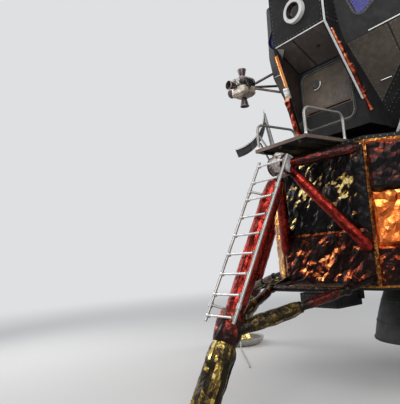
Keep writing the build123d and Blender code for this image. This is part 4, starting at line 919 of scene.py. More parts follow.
def rivet_row(start, end, out, pitch=0.05, radius=0.0055, lift=0.003):
    """Copies of the rivet head in a row from start to end, on a sheet that faces out."""
    start, end, out = Vector(start), Vector(end), Vector(out).normalized()
    count = max(2, round((end - start).length / pitch) + 1)
    turn = out.to_track_quat("Z", "Y").to_matrix().to_4x4() @ Matrix.Scale(radius, 4)
    row = []
    for step in range(count):
        head = bpy.data.objects.new("rivet", rivet_head.data.copy())
        head.data.transform(Matrix.Translation(start.lerp(end, step / (count - 1)) + out * lift) @ turn)
        bpy.context.collection.objects.link(head)
        row.append(head)
    return row


def along_edges(corners, out, inset=0.016, **shape):
    """Rivet rows just inside each edge of a panel."""
    middle = sum((Vector(corner) for corner in corners), Vector()) / len(corners)
    rows = []
    for start, end in zip(corners, list(corners[1:]) + [corners[0]]):
        start, end = Vector(start), Vector(end)
        run = (end - start).normalized()
        inwards = run.cross(Vector(out)).normalized()
        if inwards.dot(middle - start) < 0:
            inwards = -inwards
        if (end - start).length > 4 * inset:
            rows.extend(rivet_row(
                start + run * 1.6 * inset + inwards * inset, end - run * 1.6 * inset + inwards * inset,
                out, **shape,
            ))
    return rows


def panels(sheets, thickness, gap):
    """Flat sheets from pairs of corners and the direction that they face."""
    return [sheet_panel(corners, out, thickness, gap) for corners, out in sheets]


def edge_rivets(sheets, inset, **shape):
    """Rivets round every sheet of a set."""
    heads = []
    for corners, out in sheets:
        heads += along_edges(corners, out, inset, **shape)
    return heads


porch_black = sheet_metal("porch_black", [
    (0.0, (0.008, 0.007, 0.007)), (0.6, (0.018, 0.016, 0.015)), (1.0, (0.050, 0.045, 0.040)),
], 0.2, (0.46, 0.70), shine=0.25)
brown_anodise = sheet_metal("brown_anodise", [
    (0.0, (0.070, 0.045, 0.035)), (0.5, (0.115, 0.078, 0.060)), (1.0, (0.19, 0.135, 0.105)),
], 0.55, (0.35, 0.55), ripple=0.0006)
coat(porch_black, "porch")
porch_half, porch_front, porch_back = 0.406, -2.733, -1.590
porch_low, porch_top = 3.175, 3.215
trim_back = porch_front + 0.028
trim_faces = [
    ([(-porch_half, porch_front, porch_low), (porch_half, porch_front, porch_low),
      (porch_half, porch_front, porch_top), (-porch_half, porch_front, porch_top)], (0, -1, 0)),
    ([(-porch_half, porch_front, porch_top), (porch_half, porch_front, porch_top),
      (porch_half, trim_back, porch_top), (-porch_half, trim_back, porch_top)], (0, 0, 1)),
]
for side in (-1, 1):
    edge, inner = side * porch_half, side * (porch_half - 0.024)
    trim_faces.append((
        [(edge, porch_front, porch_low), (edge, porch_back, porch_low),
         (edge, porch_back, porch_top), (edge, porch_front, porch_top)], (side, 0, 0),
    ))
    trim_faces.append((
        [(edge, porch_front, porch_top), (edge, porch_back, porch_top),
         (inner, porch_back, porch_top), (inner, trim_back, porch_top)], (0, 0, 1),
    ))
porch_trim = joined(panels(trim_faces, 0.0025, 0.0), "porch_trim")
dress(porch_trim, brown_anodise)
tread_count, tread_half, tread_top = 12, 0.356, 3.227
tread_pitch = 0.983 / tread_count
cap = sheet_panel([
    (-tread_half, -1.670, tread_top), (-tread_half, -1.694, tread_top),
    (tread_half, -1.694, tread_top), (tread_half, -1.670, tread_top),
], (0, 0, 1), 0.0015, 0.003)
repeat(cap, tread_count, (0, -tread_pitch, 0))
finish_modifiers(cap)
cap.name = "porch_tread_caps"
dress(cap, rail_metal)
channels = []
for across in (-0.30, 0.0, 0.30):
    bpy.ops.mesh.primitive_cube_add(size=1, location=(across, -2.42, 3.160))
    channel = bpy.context.object
    channel.scale = (0.045, 0.600, 0.030)
    settle(channel)
    for face in channel.data.polygons:
        face.select = face.normal.z < -0.9
    bpy.ops.object.mode_set(mode="EDIT")
    bpy.ops.mesh.select_mode(type="FACE")
    bpy.ops.mesh.inset(thickness=0.006)
    bpy.ops.mesh.extrude_region_move(TRANSFORM_OT_translate={"value": (0, 0, 0.022)})
    bpy.ops.object.mode_set(mode="OBJECT")
    channels.append(channel)
porch_channels = joined(channels, "porch_channels")
dress(porch_channels, porch_black)
bolts = []
for side in (-1, 1):
    bolts.extend(rivet_row(
        (side * 0.395, -2.70, porch_top), (side * 0.395, -1.62, porch_top), (0, 0, 1), 0.09, 0.006,
    ))
bolts.extend(rivet_row((-0.38, -2.720, porch_top), (0.38, -2.720, porch_top), (0, 0, 1), 0.076, 0.006))
porch_rivets = joined(bolts, "porch_rivets")
dress(porch_rivets, rail_metal)

# Feet of the porch's handrails: turned aluminium flanges, one under each upright,
# that carry the rail's tube on the plate.
flanges = []
for side in (-1, 1):
    for reach in (-2.693, -2.010):
        bpy.ops.mesh.primitive_cylinder_add(
            vertices=24, radius=0.021, depth=0.007, location=(side * 0.382, reach, 3.2185),
        )
        flange = bpy.context.object
        settle(flange)
        for face in flange.data.polygons:
            face.select = face.normal.z > 0.9
        bpy.ops.object.mode_set(mode="EDIT")
        bpy.ops.mesh.select_mode(type="FACE")
        bpy.ops.mesh.inset(thickness=0.0045)
        bpy.ops.mesh.extrude_region_move(TRANSFORM_OT_translate={"value": (0, 0, 0.022)})
        bpy.ops.object.mode_set(mode="OBJECT")
        soften(flange, 0.0015)
        finish_modifiers(flange)
        flanges.append(flange)
dress(joined(flanges, "handrail_flanges"), rung_metal)

# Descent engine: heat-stained titanium chamber above, and a thin matt black skirt
# of coated niobium that is stiffened by a rolled edge and two hoops.
bell_metal = sheet_metal("bell_metal", [
    (0.0, (0.012, 0.012, 0.013)), (0.5, (0.026, 0.025, 0.025)), (1.0, (0.055, 0.052, 0.049)),
], 0.35, (0.48, 0.72), ripple=0.0015)
titanium = sheet_metal("titanium", [
    (0.0, (0.14, 0.125, 0.115)), (0.5, (0.23, 0.21, 0.195)), (1.0, (0.34, 0.32, 0.30)),
], 0.8, (0.30, 0.52), ripple=0.001)
coat(bell_metal, "descent_engine")
coat(titanium, "gimbal_ring", "ascent_engine")


def turned_ring(name, profile, steps, centre=(0, 0, 0), axis=(0, 0, 1)):
    """Closed ring spun about an axis from its cross-section: (radius, height) points."""
    centre, axis = Vector(centre), Vector(axis).normalized()
    aside = axis.orthogonal().normalized()
    bpy.ops.mesh.primitive_circle_add(vertices=len(profile), fill_type="NOTHING")
    ring = bpy.context.object
    ring.name = name
    for corner, (radius, height) in zip(ring.data.vertices, profile):
        corner.co = centre + aside * radius + axis * height
    edit_all("VERT")
    bpy.ops.mesh.spin(steps=steps, angle=2 * math.pi, center=centre, axis=axis)
    bpy.ops.mesh.select_all(action="SELECT")
    bpy.ops.mesh.remove_doubles(threshold=0.00002)
    bpy.ops.mesh.normals_make_consistent(inside=False)
    bpy.ops.object.mode_set(mode="OBJECT")
    bpy.ops.object.shade_smooth_by_angle(angle=math.radians(35))
    return ring


bell_rings = []
hoop_sizes = [(0.753, 0.578, 0.022, 0.010), (0.700, 0.822, 0.014, 0.008), (0.604, 1.122, 0.014, 0.008)]
for radius, height, depth, swell in hoop_sizes:
    bell_rings.append(turned_ring("hoop", [
        (radius - 0.006, height - depth / 2), (radius + swell * 0.7, height - depth / 2),
        (radius + swell, height), (radius + swell * 0.7, height + depth / 2),
        (radius - 0.010, height + depth / 2),
    ], 72))
bell_hoops = joined(bell_rings, "bell_hoops")
dress(bell_hoops, bell_metal, "descent_engine")


# Base heat shield, deck and stage corners: a rail of black sheet riveted round the
# deck, tape over the blankets' joints, and wedge panels above and below.
def octagon_corners(height):
    """Corners of the stage's outline, anticlockwise from the front side's left end."""
    corners = []
    for turn in (0, 90, 180, 270):
        angle = math.radians(turn)
        for side in (-1, 1):
            x, y = side * leg_half, -leg_reach
            corners.append(Vector((
                x * math.cos(angle) - y * math.sin(angle), x * math.sin(angle) + y * math.cos(angle), height,
            )))
    return corners


deck_low, deck_high = octagon_corners(3.134), octagon_corners(3.172)
strips, heads = [], []
for index in range(8):
    after = (index + 1) % 8
    run = deck_low[after] - deck_low[index]
    out = run.cross(Vector((0, 0, 1))).normalized()
    strips.append(sheet_panel(
        [deck_low[index], deck_low[after], deck_high[after], deck_high[index]], out, 0.003, 0.001,
    ))
    inset = run.normalized() * 0.04
    middle = Vector((0, 0, 0.019))
    heads.extend(rivet_row(
        deck_low[index] + inset + middle, deck_low[after] - inset + middle, out, 0.075, 0.006,
    ))
deck_strip = joined(strips, "deck_strip")
dress(deck_strip, black_sheet)
deck_rivets = joined(heads, "deck_rivets")
dress(deck_rivets, rail_metal)
tape_film = crumpled_film("tape_film", [
    (0.0, (0.020, 0.009, 0.006)), (0.5, (0.12, 0.040, 0.012)), (1.0, (0.62, 0.26, 0.07)),
], rough=(0.25, 0.45), crease=26.0, depth=0.004, glint_share=0.2)
for index, corner in enumerate(octagon_corners(0)):
    out = corner.normalized()
    centre = corner + out * 0.005 + Vector((0, 0, 2.30))
    blanket("corner_tape_" + str(index), centre, out, 0.050, 1.56, 0.014, 0.012, tape_film)
# Eight wedge panels on the deck and eight more under the base shield, each screwed
# down round its edge.
wedges, screws = [], []
stage_ring = octagon_corners(0)
wedge_rings = [(3.175, (0, 0, 1), 0.56, 0.965), (1.477, (0, 0, -1), 0.40, 0.955)]
for height, facing_out, inner, outer in wedge_rings:
    for index in range(8):
        after = (index + 1) % 8
        lift = Vector((0, 0, height))
        corners = [
            stage_ring[index] * outer + lift, stage_ring[after] * outer + lift,
            stage_ring[after] * inner + lift, stage_ring[index] * inner + lift,
        ]
        wedges.append(sheet_panel(corners, facing_out, 0.003, 0.008))
        screws += along_edges(corners, facing_out, 0.034, pitch=0.09, radius=0.006)
wedge_panels = joined(wedges, "wedge_panels")
dress(wedge_panels, black_sheet)
wedge_screws = joined(screws, "wedge_screws")
dress(wedge_screws, rail_metal)


# Landing radar: black antenna box under the front of the stage, with four pressed
# panels on its lower face and a flange of screws round its sides.
radar_low, radar_side, radar_front = 1.145, -0.98, -1.61
plates = []
for near, far in ((0.0, 0.5), (0.5, 1.0)):
    for left, right_end in ((0.0, 0.5), (0.5, 1.0)):
        x = [radar_side + 0.03 + 0.62 * share for share in (left, right_end)]
        y = [radar_front + 0.03 + 0.50 * share for share in (near, far)]
        plates.append(sheet_panel([
            (x[0], y[0], radar_low), (x[1], y[0], radar_low),
            (x[1], y[1], radar_low), (x[0], y[1], radar_low),
        ], (0, 0, -1), 0.006, 0.008, 0.003))
dress(joined(plates, "landing_radar_face"), black_sheet, "landing_radar")
screws = []
for height in (1.170, 1.310):
    screws.extend(rivet_row((-0.94, -1.61, height), (-0.34, -1.61, height), (0, -1, 0), 0.06, 0.005, 0.0))
    screws.extend(rivet_row((-0.98, -1.57, height), (-0.98, -1.09, height), (-1, 0, 0), 0.06, 0.005, 0.0))
    screws.extend(rivet_row((-0.30, -1.57, height), (-0.30, -1.09, height), (1, 0, 0), 0.06, 0.005, 0.0))
dress(joined(screws, "landing_radar_screws"), rail_metal, "landing_radar")

# Front of the ascent stage: thin black and olive sheets held off the pressure cabin
# by standoffs, each riveted round its edge, with a narrow gap to its neighbour.
nose_black = sheet_metal("nose_black", [
    (0.0, (0.005, 0.005, 0.006)), (0.55, (0.009, 0.009, 0.009)), (1.0, (0.022, 0.020, 0.020)),
], 0.0, (0.40, 0.62), ripple=0.006, shine=0.14)
coat(nose_black, "front_face", "cabin_shell")
black_sheets = [
    ([(-0.430, -2.200, 4.670), (0.408, -2.200, 4.670), (0.408, -2.200, 5.405), (-0.430, -2.200, 5.405)],
     (0, -1, 0)),
    ([(-0.440, -2.195, 5.422), (0.440, -2.195, 5.422), (0.440, -1.855, 5.543), (-0.440, -1.855, 5.543)],
     (0, -0.34, 0.94)),
    ([(-0.420, -1.700, 5.740), (0.420, -1.700, 5.740), (0.420, -1.310, 5.740), (-0.420, -1.310, 5.740)],
     (0, 0, 1)),
]
olive_sheets = []


def mirrored(side, sheets):
    """Sheets of the left side, put on one side: pairs of corners and direction."""
    return [
        ([(side * x, y, z) for x, y, z in corners], (side * out[0], out[1], out[2]))
        for corners, out in sheets
    ]


for side in (-1, 1):
    black_sheets += mirrored(side, [
        ([(0.445, -1.957, 4.660), (0.445, -2.190, 4.660), (0.445, -2.190, 5.412),
          (0.445, -1.855, 5.535), (0.445, -2.050, 5.245)], (1, 0, 0)),
        ([(0.805, -1.874, 5.500), (0.455, -2.058, 5.240), (0.455, -1.850, 5.540),
          (0.425, -1.716, 5.735)], (0, -0.82, 0.57)),
        ([(1.168, -1.305, 4.955), (1.168, -1.532, 4.955), (0.833, -1.850, 5.476),
          (0.833, -1.305, 5.476)], (0.84, 0, 0.54)),
        ([(1.168, -1.305, 4.945), (1.168, -1.532, 4.945), (1.168, -1.482, 4.645),
          (1.168, -1.305, 4.360)], (1, 0, 0)),
    ])
    # Cheek: two olive sheets side by side, and a black one below them.
    lower, upper = Vector((side * 0.545, -1.394, 3.700)), Vector((side * 0.470, -1.897, 4.412))
    outer_low, outer_top = Vector((side * 1.168, -1.399, 4.510)), Vector((side * 1.168, -1.480, 4.640))
    split_low, split_top = lower.lerp(outer_low, 0.56), upper.lerp(outer_top, 0.60)
    outwards = (side * 0.5624, -0.7019, -0.4371)
    olive_sheets.append(([lower, split_low, split_top, upper], outwards))
    olive_sheets.append(([split_low, outer_low, outer_top, split_top], outwards))
    black_sheets.append((
        [lower, outer_low, (side * 1.168, -1.305, 4.359), (side * 0.562, -1.305, 3.571)], outwards,
    ))
dress(joined(panels(black_sheets, 0.003, 0.006), "cabin_black_sheets"), nose_black)
cheeks = joined(panels(olive_sheets, 0.004, 0.008), "cabin_cheek_sheets")
dress(cheeks, cheek_olive_shaded)
cabin_rivets = edge_rivets(black_sheets + olive_sheets, 0.022, pitch=0.055, radius=0.0045)
dress(joined(cabin_rivets, "cabin_sheet_rivets"), grey_sheet)

# Pale edge strips: narrow painted angles over the joints, down the nose and the
# alcove's mouth, along its lip and above the cheeks. Those down the nose and the
# mouth are on the near (+x) side only, partly as painted highlights where that
# edge catches the light.
pale_paint = sheet_metal("pale_paint", [
    (0.0, (0.36, 0.36, 0.345)), (0.4, (0.52, 0.52, 0.50)), (1.0, (0.66, 0.66, 0.64)),
], 0.15, (0.40, 0.62), ripple=0.0008)
strips = [
    sheet_panel([
        (0.414, -2.203, 4.655), (0.442, -2.203, 4.655), (0.442, -2.203, 5.416), (0.414, -2.203, 5.416),
    ], (0, -1, 0), 0.005, 0.0),
    sheet_panel([
        (0.414, -2.204, 4.655), (0.442, -2.204, 4.655), (0.541, -1.762, 3.712), (0.513, -1.762, 3.712),
    ], (0, -0.905, -0.425), 0.006, 0.0),
    sheet_panel([
        (-0.392, -2.202, 4.648), (0.412, -2.202, 4.648), (0.412, -2.202, 4.664), (-0.392, -2.202, 4.664),
    ], (0, -1, 0), 0.005, 0.0),
]
for side in (-1, 1):
    strips.append(sheet_panel([
        (side * 0.705, -1.763, 4.493), (side * 1.080, -1.539, 4.617),
        (side * 1.080, -1.541, 4.629), (side * 0.705, -1.766, 4.506),
    ], (side * 0.5429, -0.8262, -0.1506), 0.006, 0.0))
dress(joined(strips, "cabin_edge_strips"), pale_paint)

# Film round the alcove's mouth: dark red film bunched along the outside of the
# left-hand edge; on the right-hand one smooth orange tape above, then a torn pale
# end and loose orange film below.
mouth_out = Vector((0, -0.905, -0.425))
red_glints = crumpled_film("red_glints", [
    (0.0, (0.008, 0.005, 0.005)),
    (0.38, (0.030, 0.008, 0.006)),
    (0.58, (0.26, 0.032, 0.018)),
    (0.74, (0.72, 0.14, 0.050)),
    (0.90, (0.95, 0.45, 0.24)),
], rough=(0.2, 0.45), crease=18.0, metallic=0.9, depth=0.010, glint_share=0.60, patchy=0.20)
near_top, near_foot = Vector((0.436, -2.190, 4.600)), Vector((0.542, -1.742, 3.610))
near_run = (near_foot - near_top).normalized()
bunches = [
    (0.04, 0.24, 0.030, 0.016), (0.20, 0.52, 0.052, 0.024),
    (0.46, 0.86, 0.062, 0.030), (0.84, 1.06, 0.034, 0.018),
]
for index, (from_share, to_share, width, depth) in enumerate(bunches):
    centre = near_top.lerp(near_foot, (from_share + to_share) / 2) + Vector((0.022, 0.016 + width / 2, 0.0))
    blanket(
        "alcove_left_film_" + str(index), centre, Vector((0.99, 0, 0.1)), width,
        (near_foot - near_top).length * (to_share - from_share), 0.009, depth, red_glints,
        upright=-near_run,
    )
edge_top, edge_foot = Vector((-0.418, -2.206, 4.640)), Vector((-0.518, -1.759, 3.690))
slope = (edge_foot - edge_top).normalized()
smooth_film = crumpled_film("smooth_orange_film", [
    (0.0, (0.55, 0.13, 0.030)), (0.5, (0.80, 0.27, 0.070)), (1.0, (0.95, 0.50, 0.19)),
], rough=(0.16, 0.34), crease=4.0, depth=0.004, glint_share=0.2)
blanket(
    "alcove_right_tape", edge_top + slope * 0.30 + mouth_out * 0.004, mouth_out, 0.052, 0.44, 0.016, 0.006,
    smooth_film, upright=-slope,
)
blanket(
    "alcove_torn_film", edge_top + slope * 0.60 + mouth_out * 0.012, mouth_out, 0.072, 0.15, 0.009, 0.026,
    pale_film, upright=-slope,
)
loose_end = edge_foot + Vector((-0.022, 0.020, -0.24))
blanket(
    "alcove_right_film", (edge_top + slope * 0.66).lerp(loose_end, 0.5) + mouth_out * 0.010, mouth_out,
    0.085, (loose_end - edge_top - slope * 0.66).length, 0.011, 0.034, red_glints,
    upright=(edge_top + slope * 0.66 - loose_end).normalized(),
)


# Hatch alcove: olive sheets on the slanted ceiling with a dark seam down its middle,
# a grey gusset in the corner, brown sheets on the side walls and a small vent.
# Alcove's olive tone, darkened as painted shade.
alcove_olive_shaded = sheet_metal("alcove_olive_shaded", [
    (0.0, (0.036, 0.028, 0.024)), (0.5, (0.066, 0.053, 0.045)), (1.0, (0.115, 0.097, 0.085)),
], 0.2, (0.42, 0.66), ripple=0.003, shine=0.3)
dark_brown = sheet_metal("dark_brown", [
    (0.0, (0.008, 0.005, 0.005)), (0.5, (0.018, 0.011, 0.009)), (1.0, (0.045, 0.026, 0.018)),
], 0.3, (0.40, 0.62), ripple=0.002)
lip_y, lip_z, back_y, back_z = -2.195, 4.647, -1.757, 4.3825
ceiling_out = Vector((0, -0.517, -0.856))
ceiling_sheets = [
    ([(-0.386, lip_y, lip_z), (-0.112, lip_y, lip_z), (-0.104, back_y, back_z), (-0.412, back_y, back_z)],
     ceiling_out),
    ([(-0.098, lip_y, lip_z), (0.386, lip_y, lip_z), (0.412, back_y, back_z), (-0.090, back_y, back_z)],
     ceiling_out),
]
ceiling = joined(panels(ceiling_sheets, 0.003, 0.004), "alcove_ceiling")
dress(ceiling, alcove_olive_shaded)
wall_sheets = []
for side in (-1, 1):
    wall_sheets.append((
        [(side * 0.487, -1.762, 3.715), (side * 0.419, -1.762, 4.362), (side * 0.393, -2.178, 4.612)],
        (-side * 0.99, 0, -0.1),
    ))
walls = joined(panels(wall_sheets, 0.002, 0.006), "alcove_walls")
dress(walls, dark_brown)
gusset = sheet_panel([
    (-0.384, -2.192, 4.640), (-0.290, -2.150, 4.612), (-0.400, -2.080, 4.535),
], (0.6, -0.6, -0.5), 0.004, 0.0)
gusset.name = "alcove_gusset"
dress(gusset, grey_sheet)
alcove_rivets = joined(edge_rivets(ceiling_sheets, 0.018, pitch=0.05, radius=0.004), "alcove_rivets")
dress(alcove_rivets, dark_brown)
vent_place = Vector((0.128, -1.987, 4.5215))
vent = turned_ring("alcove_vent", [
    (0.0005, 0.010), (0.018, 0.010), (0.030, 0.004), (0.030, -0.002), (0.0005, -0.002),
], 24, vent_place, ceiling_out)
dress(vent, dark_brown)

# Handles on the cheeks for the crew: bent bare tubes that stand on two small feet.
def bar(start, end, radius, sides=8):
    """Thin round rod from start to end."""
    start, run = Vector(start), Vector(end) - Vector(start)
    bpy.ops.mesh.primitive_circle_add(
        vertices=sides, radius=radius, fill_type="NGON", location=start,
        rotation=run.to_track_quat("Z", "Y").to_euler(),
    )
    rod = bpy.context.object
    edit_all("FACE")
    bpy.ops.mesh.extrude_region_move(TRANSFORM_OT_translate={"value": run})
    bpy.ops.mesh.select_all(action="SELECT")
    bpy.ops.mesh.normals_make_consistent(inside=False)
    bpy.ops.object.mode_set(mode="OBJECT")
    settle(rod)
    bpy.ops.object.shade_smooth_by_angle(angle=math.radians(50))
    return rod


handles = []
for side in (-1, 1):
    low, high = Vector((side * 0.624, -1.490, 3.956)), Vector((side * 0.723, -1.426, 3.982))
    lift = Vector((side * 0.5624, -0.7019, -0.4371)) * 0.030
    for start, end in ((low, low + lift), (low + lift, high + lift), (high + lift, high)):
        handles.append(bar(start, end, 0.006))
cheek_handles = joined(handles, "cheek_handles")
dress(cheek_handles, rung_metal)

# Forward hatch and its opening: a rubber gasket clamped by a rounded frame with a
# screw every few centimetres; the hatch is a ribbed plate under olive sheet, with a
# pressure valve, a grip and film along its foot.
rubber = sheet_metal("rubber", [
    (0.0, (0.012, 0.012, 0.012)), (0.6, (0.028, 0.027, 0.026)), (1.0, (0.060, 0.057, 0.054)),
], 0.0, (0.62, 0.85), ripple=0.0005)


def rounded_square(low, high, half, corner, reach, steps=7):
    """Points round a rounded opening in the hatch wall, anticlockwise from outside."""
    points = []
    middles = [(half - corner, high - corner), (corner - half, high - corner),
               (corner - half, low + corner), (half - corner, low + corner)]
    for quarter, (x, z) in enumerate(middles):
        for step in range(steps + 1):
            angle = math.radians(90 * quarter + 90 * step / steps)
            points.append(Vector((x + corner * math.cos(angle), reach, z + corner * math.sin(angle))))
    return points


def frame_ring(name, inner, outer, out, thickness):
    """Flat closed frame between two outlines with as many points each."""
    bpy.ops.mesh.primitive_circle_add(vertices=len(outer), fill_type="NOTHING")
    ring = bpy.context.object
    ring.name = name
    for corner, place in zip(ring.data.vertices, outer):
        corner.co = place
    edit_all("VERT")
    bpy.ops.mesh.extrude_edges_move()
    bpy.ops.object.mode_set(mode="OBJECT")
    raised_points = [corner for corner in ring.data.vertices if corner.select]
    for corner in raised_points:
        nearest = min(range(len(outer)), key=lambda index: (outer[index] - corner.co).length)
        corner.co = inner[nearest]
    ring.data.update()
    if ring.data.polygons[0].normal.dot(Vector(out)) < 0:
        ring.data.flip_normals()
    thicken(ring, thickness)
    soften(ring, 0.0015)
    finish_modifiers(ring)
    return ring


hatch_low, hatch_high, hatch_half, hatch_corner = 3.520, 4.333, 0.4065, 0.120
hatch_face, screw_face, forwards = -1.753, -1.762, (0, -1, 0)


def hatch_outline(inset, reach=hatch_face):
    """Hatch's rounded outline, moved inwards by a distance."""
    return rounded_square(
        hatch_low + inset, hatch_high - inset, hatch_half - inset, hatch_corner - inset, reach,
    )


wider = rounded_square(
    hatch_low - 0.010, hatch_high + 0.026, hatch_half + 0.010, hatch_corner + 0.008, hatch_face,
)
dress(frame_ring("hatch_frame", hatch_outline(0), wider, forwards, 0.006), rubber)
gasket = frame_ring("hatch_gasket", hatch_outline(0.030), hatch_outline(0.008), forwards, 0.009)
dress(gasket, rubber, "forward_hatch")
screws, screw_pitch, screw_size = [], 0.028, 0.0055
ring_middle = hatch_outline(0.019, screw_face)
for start, end in zip(ring_middle, ring_middle[1:] + ring_middle[:1]):
    if (end - start).length > screw_pitch:
        last = end - (end - start).normalized() * screw_pitch * 0.6
        screws.extend(rivet_row(start, last, forwards, screw_pitch, screw_size, 0.0))
    else:
        screws.extend(rivet_row(start, start.lerp(end, 0.5), forwards, 1.0, screw_size, 0.0))
dress(joined(screws, "hatch_screws"), rail_metal, "forward_hatch")
# Hatch's olive tone, darkened a little as painted shade.
hatch_olive_shaded = sheet_metal("hatch_olive_shaded", [
    (0.0, (0.045, 0.034, 0.024)), (0.5, (0.082, 0.063, 0.046)), (1.0, (0.135, 0.108, 0.082)),
], 0.2, (0.40, 0.64), ripple=0.003, shine=0.35)
coat(hatch_olive_shaded, "forward_hatch")
hatch_sheets = [
    ("hatch_upper_sheet", hatch_olive_shaded, 0.004, 0.004, [
        (-0.374, 3.790), (0.086, 3.790), (0.086, 4.020), (0.374, 4.020), (0.374, 4.210),
        (0.335, 4.270), (0.280, 4.301), (-0.280, 4.301), (-0.335, 4.270), (-0.374, 4.210),
    ]),
    ("hatch_side_sheet", alcove_olive_shaded, 0.005, 0.004, [
        (0.092, 3.790), (0.374, 3.790), (0.374, 4.014), (0.092, 4.014),
    ]),
    ("hatch_foot_sheet", nose_black, 0.005, 0.003, [
        (-0.330, 3.560), (0.330, 3.560), (0.374, 3.620), (0.374, 3.745), (-0.374, 3.745), (-0.374, 3.620),
    ]),
]
for name, finish, thickness, gap, outline in hatch_sheets:
    sheet = sheet_panel([(x, hatch_face, z) for x, z in outline], forwards, thickness, gap)
    sheet.name = name
    dress(sheet, finish, "forward_hatch")
foot_film = blanket(
    "hatch_foot_film", Vector((0, -1.757, 3.767)), (0, -1, 0), 0.700, 0.024, 0.008, 0.010, red_on_black,
)
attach(foot_film, "forward_hatch")
valve_centre = Vector((-0.140, -1.771, 4.130))
valve_cup = turned_ring("hatch_valve", [
    (0.0006, 0.004), (0.030, 0.004), (0.046, 0.010), (0.052, 0.006), (0.060, -0.004), (0.060, -0.016),
    (0.0006, -0.016),
], 32, valve_centre, (0, -1, 0))
dress(valve_cup, rubber, "forward_hatch")
bpy.ops.mesh.primitive_circle_add(
    vertices=10, radius=0.008, fill_type="NGON", location=valve_centre + Vector((-0.030, -0.004, -0.068)),
    rotation=(0, math.pi / 2, 0),
)
grip = bpy.context.object
grip.name = "hatch_valve_grip"
edit_all("VERT")
bpy.ops.mesh.spin(steps=18, angle=math.radians(-125), center=valve_centre, axis=(0, -1, 0))
bpy.ops.mesh.select_all(action="SELECT")
bpy.ops.mesh.remove_doubles(threshold=0.0001)
bpy.ops.mesh.normals_make_consistent(inside=False)
bpy.ops.object.mode_set(mode="OBJECT")
settle(grip)
bpy.ops.object.shade_smooth_by_angle(angle=math.radians(40))
dress(grip, pale_paint, "forward_hatch")

# Windows: inclined double panes with a violet anti-glare coating, held by a black
# frame with screws; the outer pane is set a little behind the black skin.
glass_coat = bpy.data.materials.new("coated_glass")
glass_coat.use_nodes = True
glass_tree = glass_coat.node_tree
glass_shader = glass_tree.nodes["Principled BSDF"]
glass_shader.inputs["Metallic"].default_value = 0.0
glass_shader.inputs["IOR"].default_value = 1.33
glass_shader.inputs["Specular IOR Level"].default_value = 0.12
glass_shader.inputs["Transmission Weight"].default_value = 0.12
glass_place = glass_tree.nodes.new("ShaderNodeTexCoord")
film_noise = noise_of(glass_tree, glass_place.outputs["Object"], 4.0, 3.0, 0.5, 0.4)
glass_tree.links.new(
    ramp_of(glass_tree, spread(glass_tree, film_noise.outputs["Fac"], 0.0, 1.0), [
        (0.0, (0.020, 0.018, 0.12)), (0.55, (0.038, 0.036, 0.20)), (1.0, (0.060, 0.056, 0.28)),
    ]),
    glass_shader.inputs["Base Color"],
)
smudge = noise_of(glass_tree, glass_place.outputs["Object"], 30.0, 8.0, 0.7)
glass_tree.links.new(spread(glass_tree, smudge.outputs["Fac"], 0.03, 0.16), glass_shader.inputs["Roughness"])
coat(glass_coat, "windows")
window_corners = [(0.640, 4.690), (0.510, 5.210), (1.065, 5.130)]


def on_window_panel(x, z, side, lift):
    """Point on a window panel's outer face, lifted off it."""
    out = Vector((side * 0.5429, -0.8262, -0.1506))
    anchor = Vector((side * 0.470, -1.897, 4.412))
    flat = Vector((side * x, 0, z))
    reach = (out.dot(anchor) - out.x * flat.x - out.z * flat.z) / out.y
    return Vector((side * x, reach, z)) + out * lift


def rounded_triangle(grow, corner=0.045, steps=5):
    """Window's outline in front view, grown outwards by a distance."""
    corners = [Vector(place) for place in window_corners]
    points = []
    for index, here in enumerate(corners):
        back = (corners[index - 1] - here).normalized()
        on = (corners[(index + 1) % 3] - here).normalized()
        half = back.angle(on) / 2
        centre = here + (back + on).normalized() * corner / math.sin(half)
        first = here + back * corner / math.tan(half) - centre
        last = here + on * corner / math.tan(half) - centre
        start = math.atan2(first.y, first.x)
        turn = (math.atan2(last.y, last.x) - start + math.pi) % (2 * math.pi) - math.pi
        for step in range(steps + 1):
            angle = start + turn * step / steps
            points.append(centre + Vector((math.cos(angle), math.sin(angle))) * (corner + grow))
    return points


def window_ring(side, grow, lift):
    """Window's outline on its panel, grown and lifted off it."""
    return [on_window_panel(point.x, point.y, side, lift) for point in rounded_triangle(grow)]


frames = []
for side in (-1, 1):
    inner, outer = window_ring(side, 0.001, 0.0005), window_ring(side, 0.030, 0.0005)
    frames.append(frame_ring("frame", inner, outer, (side * 0.54, -0.83, -0.15), 0.007))
dress(joined(frames, "window_frames"), rubber)
screws = []
for side in (-1, 1):
    middle = window_ring(side, 0.016, 0.0075)
    for start, end in zip(middle, middle[1:] + middle[:1]):
        if (end - start).length > 0.06:
            inset = (end - start).normalized() * 0.02
            screws.extend(rivet_row(
                start + inset, end - inset, (side * 0.54, -0.83, -0.15), 0.04, 0.0045, 0.0,
            ))
dress(joined(screws, "window_screws"), grey_sheet)
dock_x, dock_y = (0.5565, 0.6835), (-1.3325, -1.0275)
roof_out = Vector((0.54, 0, 0.84)).normalized()
ridge_half, ridge_height, eave_half, eave_height = 0.42, 5.74, 0.83, 5.48


def on_roof(x, y, lift):
    """Point on the cabin's sloping roof on the left side."""
    share = (x - ridge_half) / (eave_half - ridge_half)
    return Vector((x, y, ridge_height + (eave_height - ridge_height) * share)) + roof_out * lift


def roof_frame(grow):
    """Corners of the docking window's frame, grown outwards."""
    x_low, x_high = dock_x[0] - grow * 0.85, dock_x[1] + grow * 0.85
    y_low, y_high = dock_y[0] - grow, dock_y[1] + grow
    return [on_roof(x, y, 0.0005) for x, y in (
        (x_low, y_low), (x_high, y_low), (x_high, y_high), (x_low, y_high),
    )]


dock_frame = frame_ring("docking_window_frame", roof_frame(0.0), roof_frame(0.028), roof_out, 0.008)
dress(dock_frame, rubber)


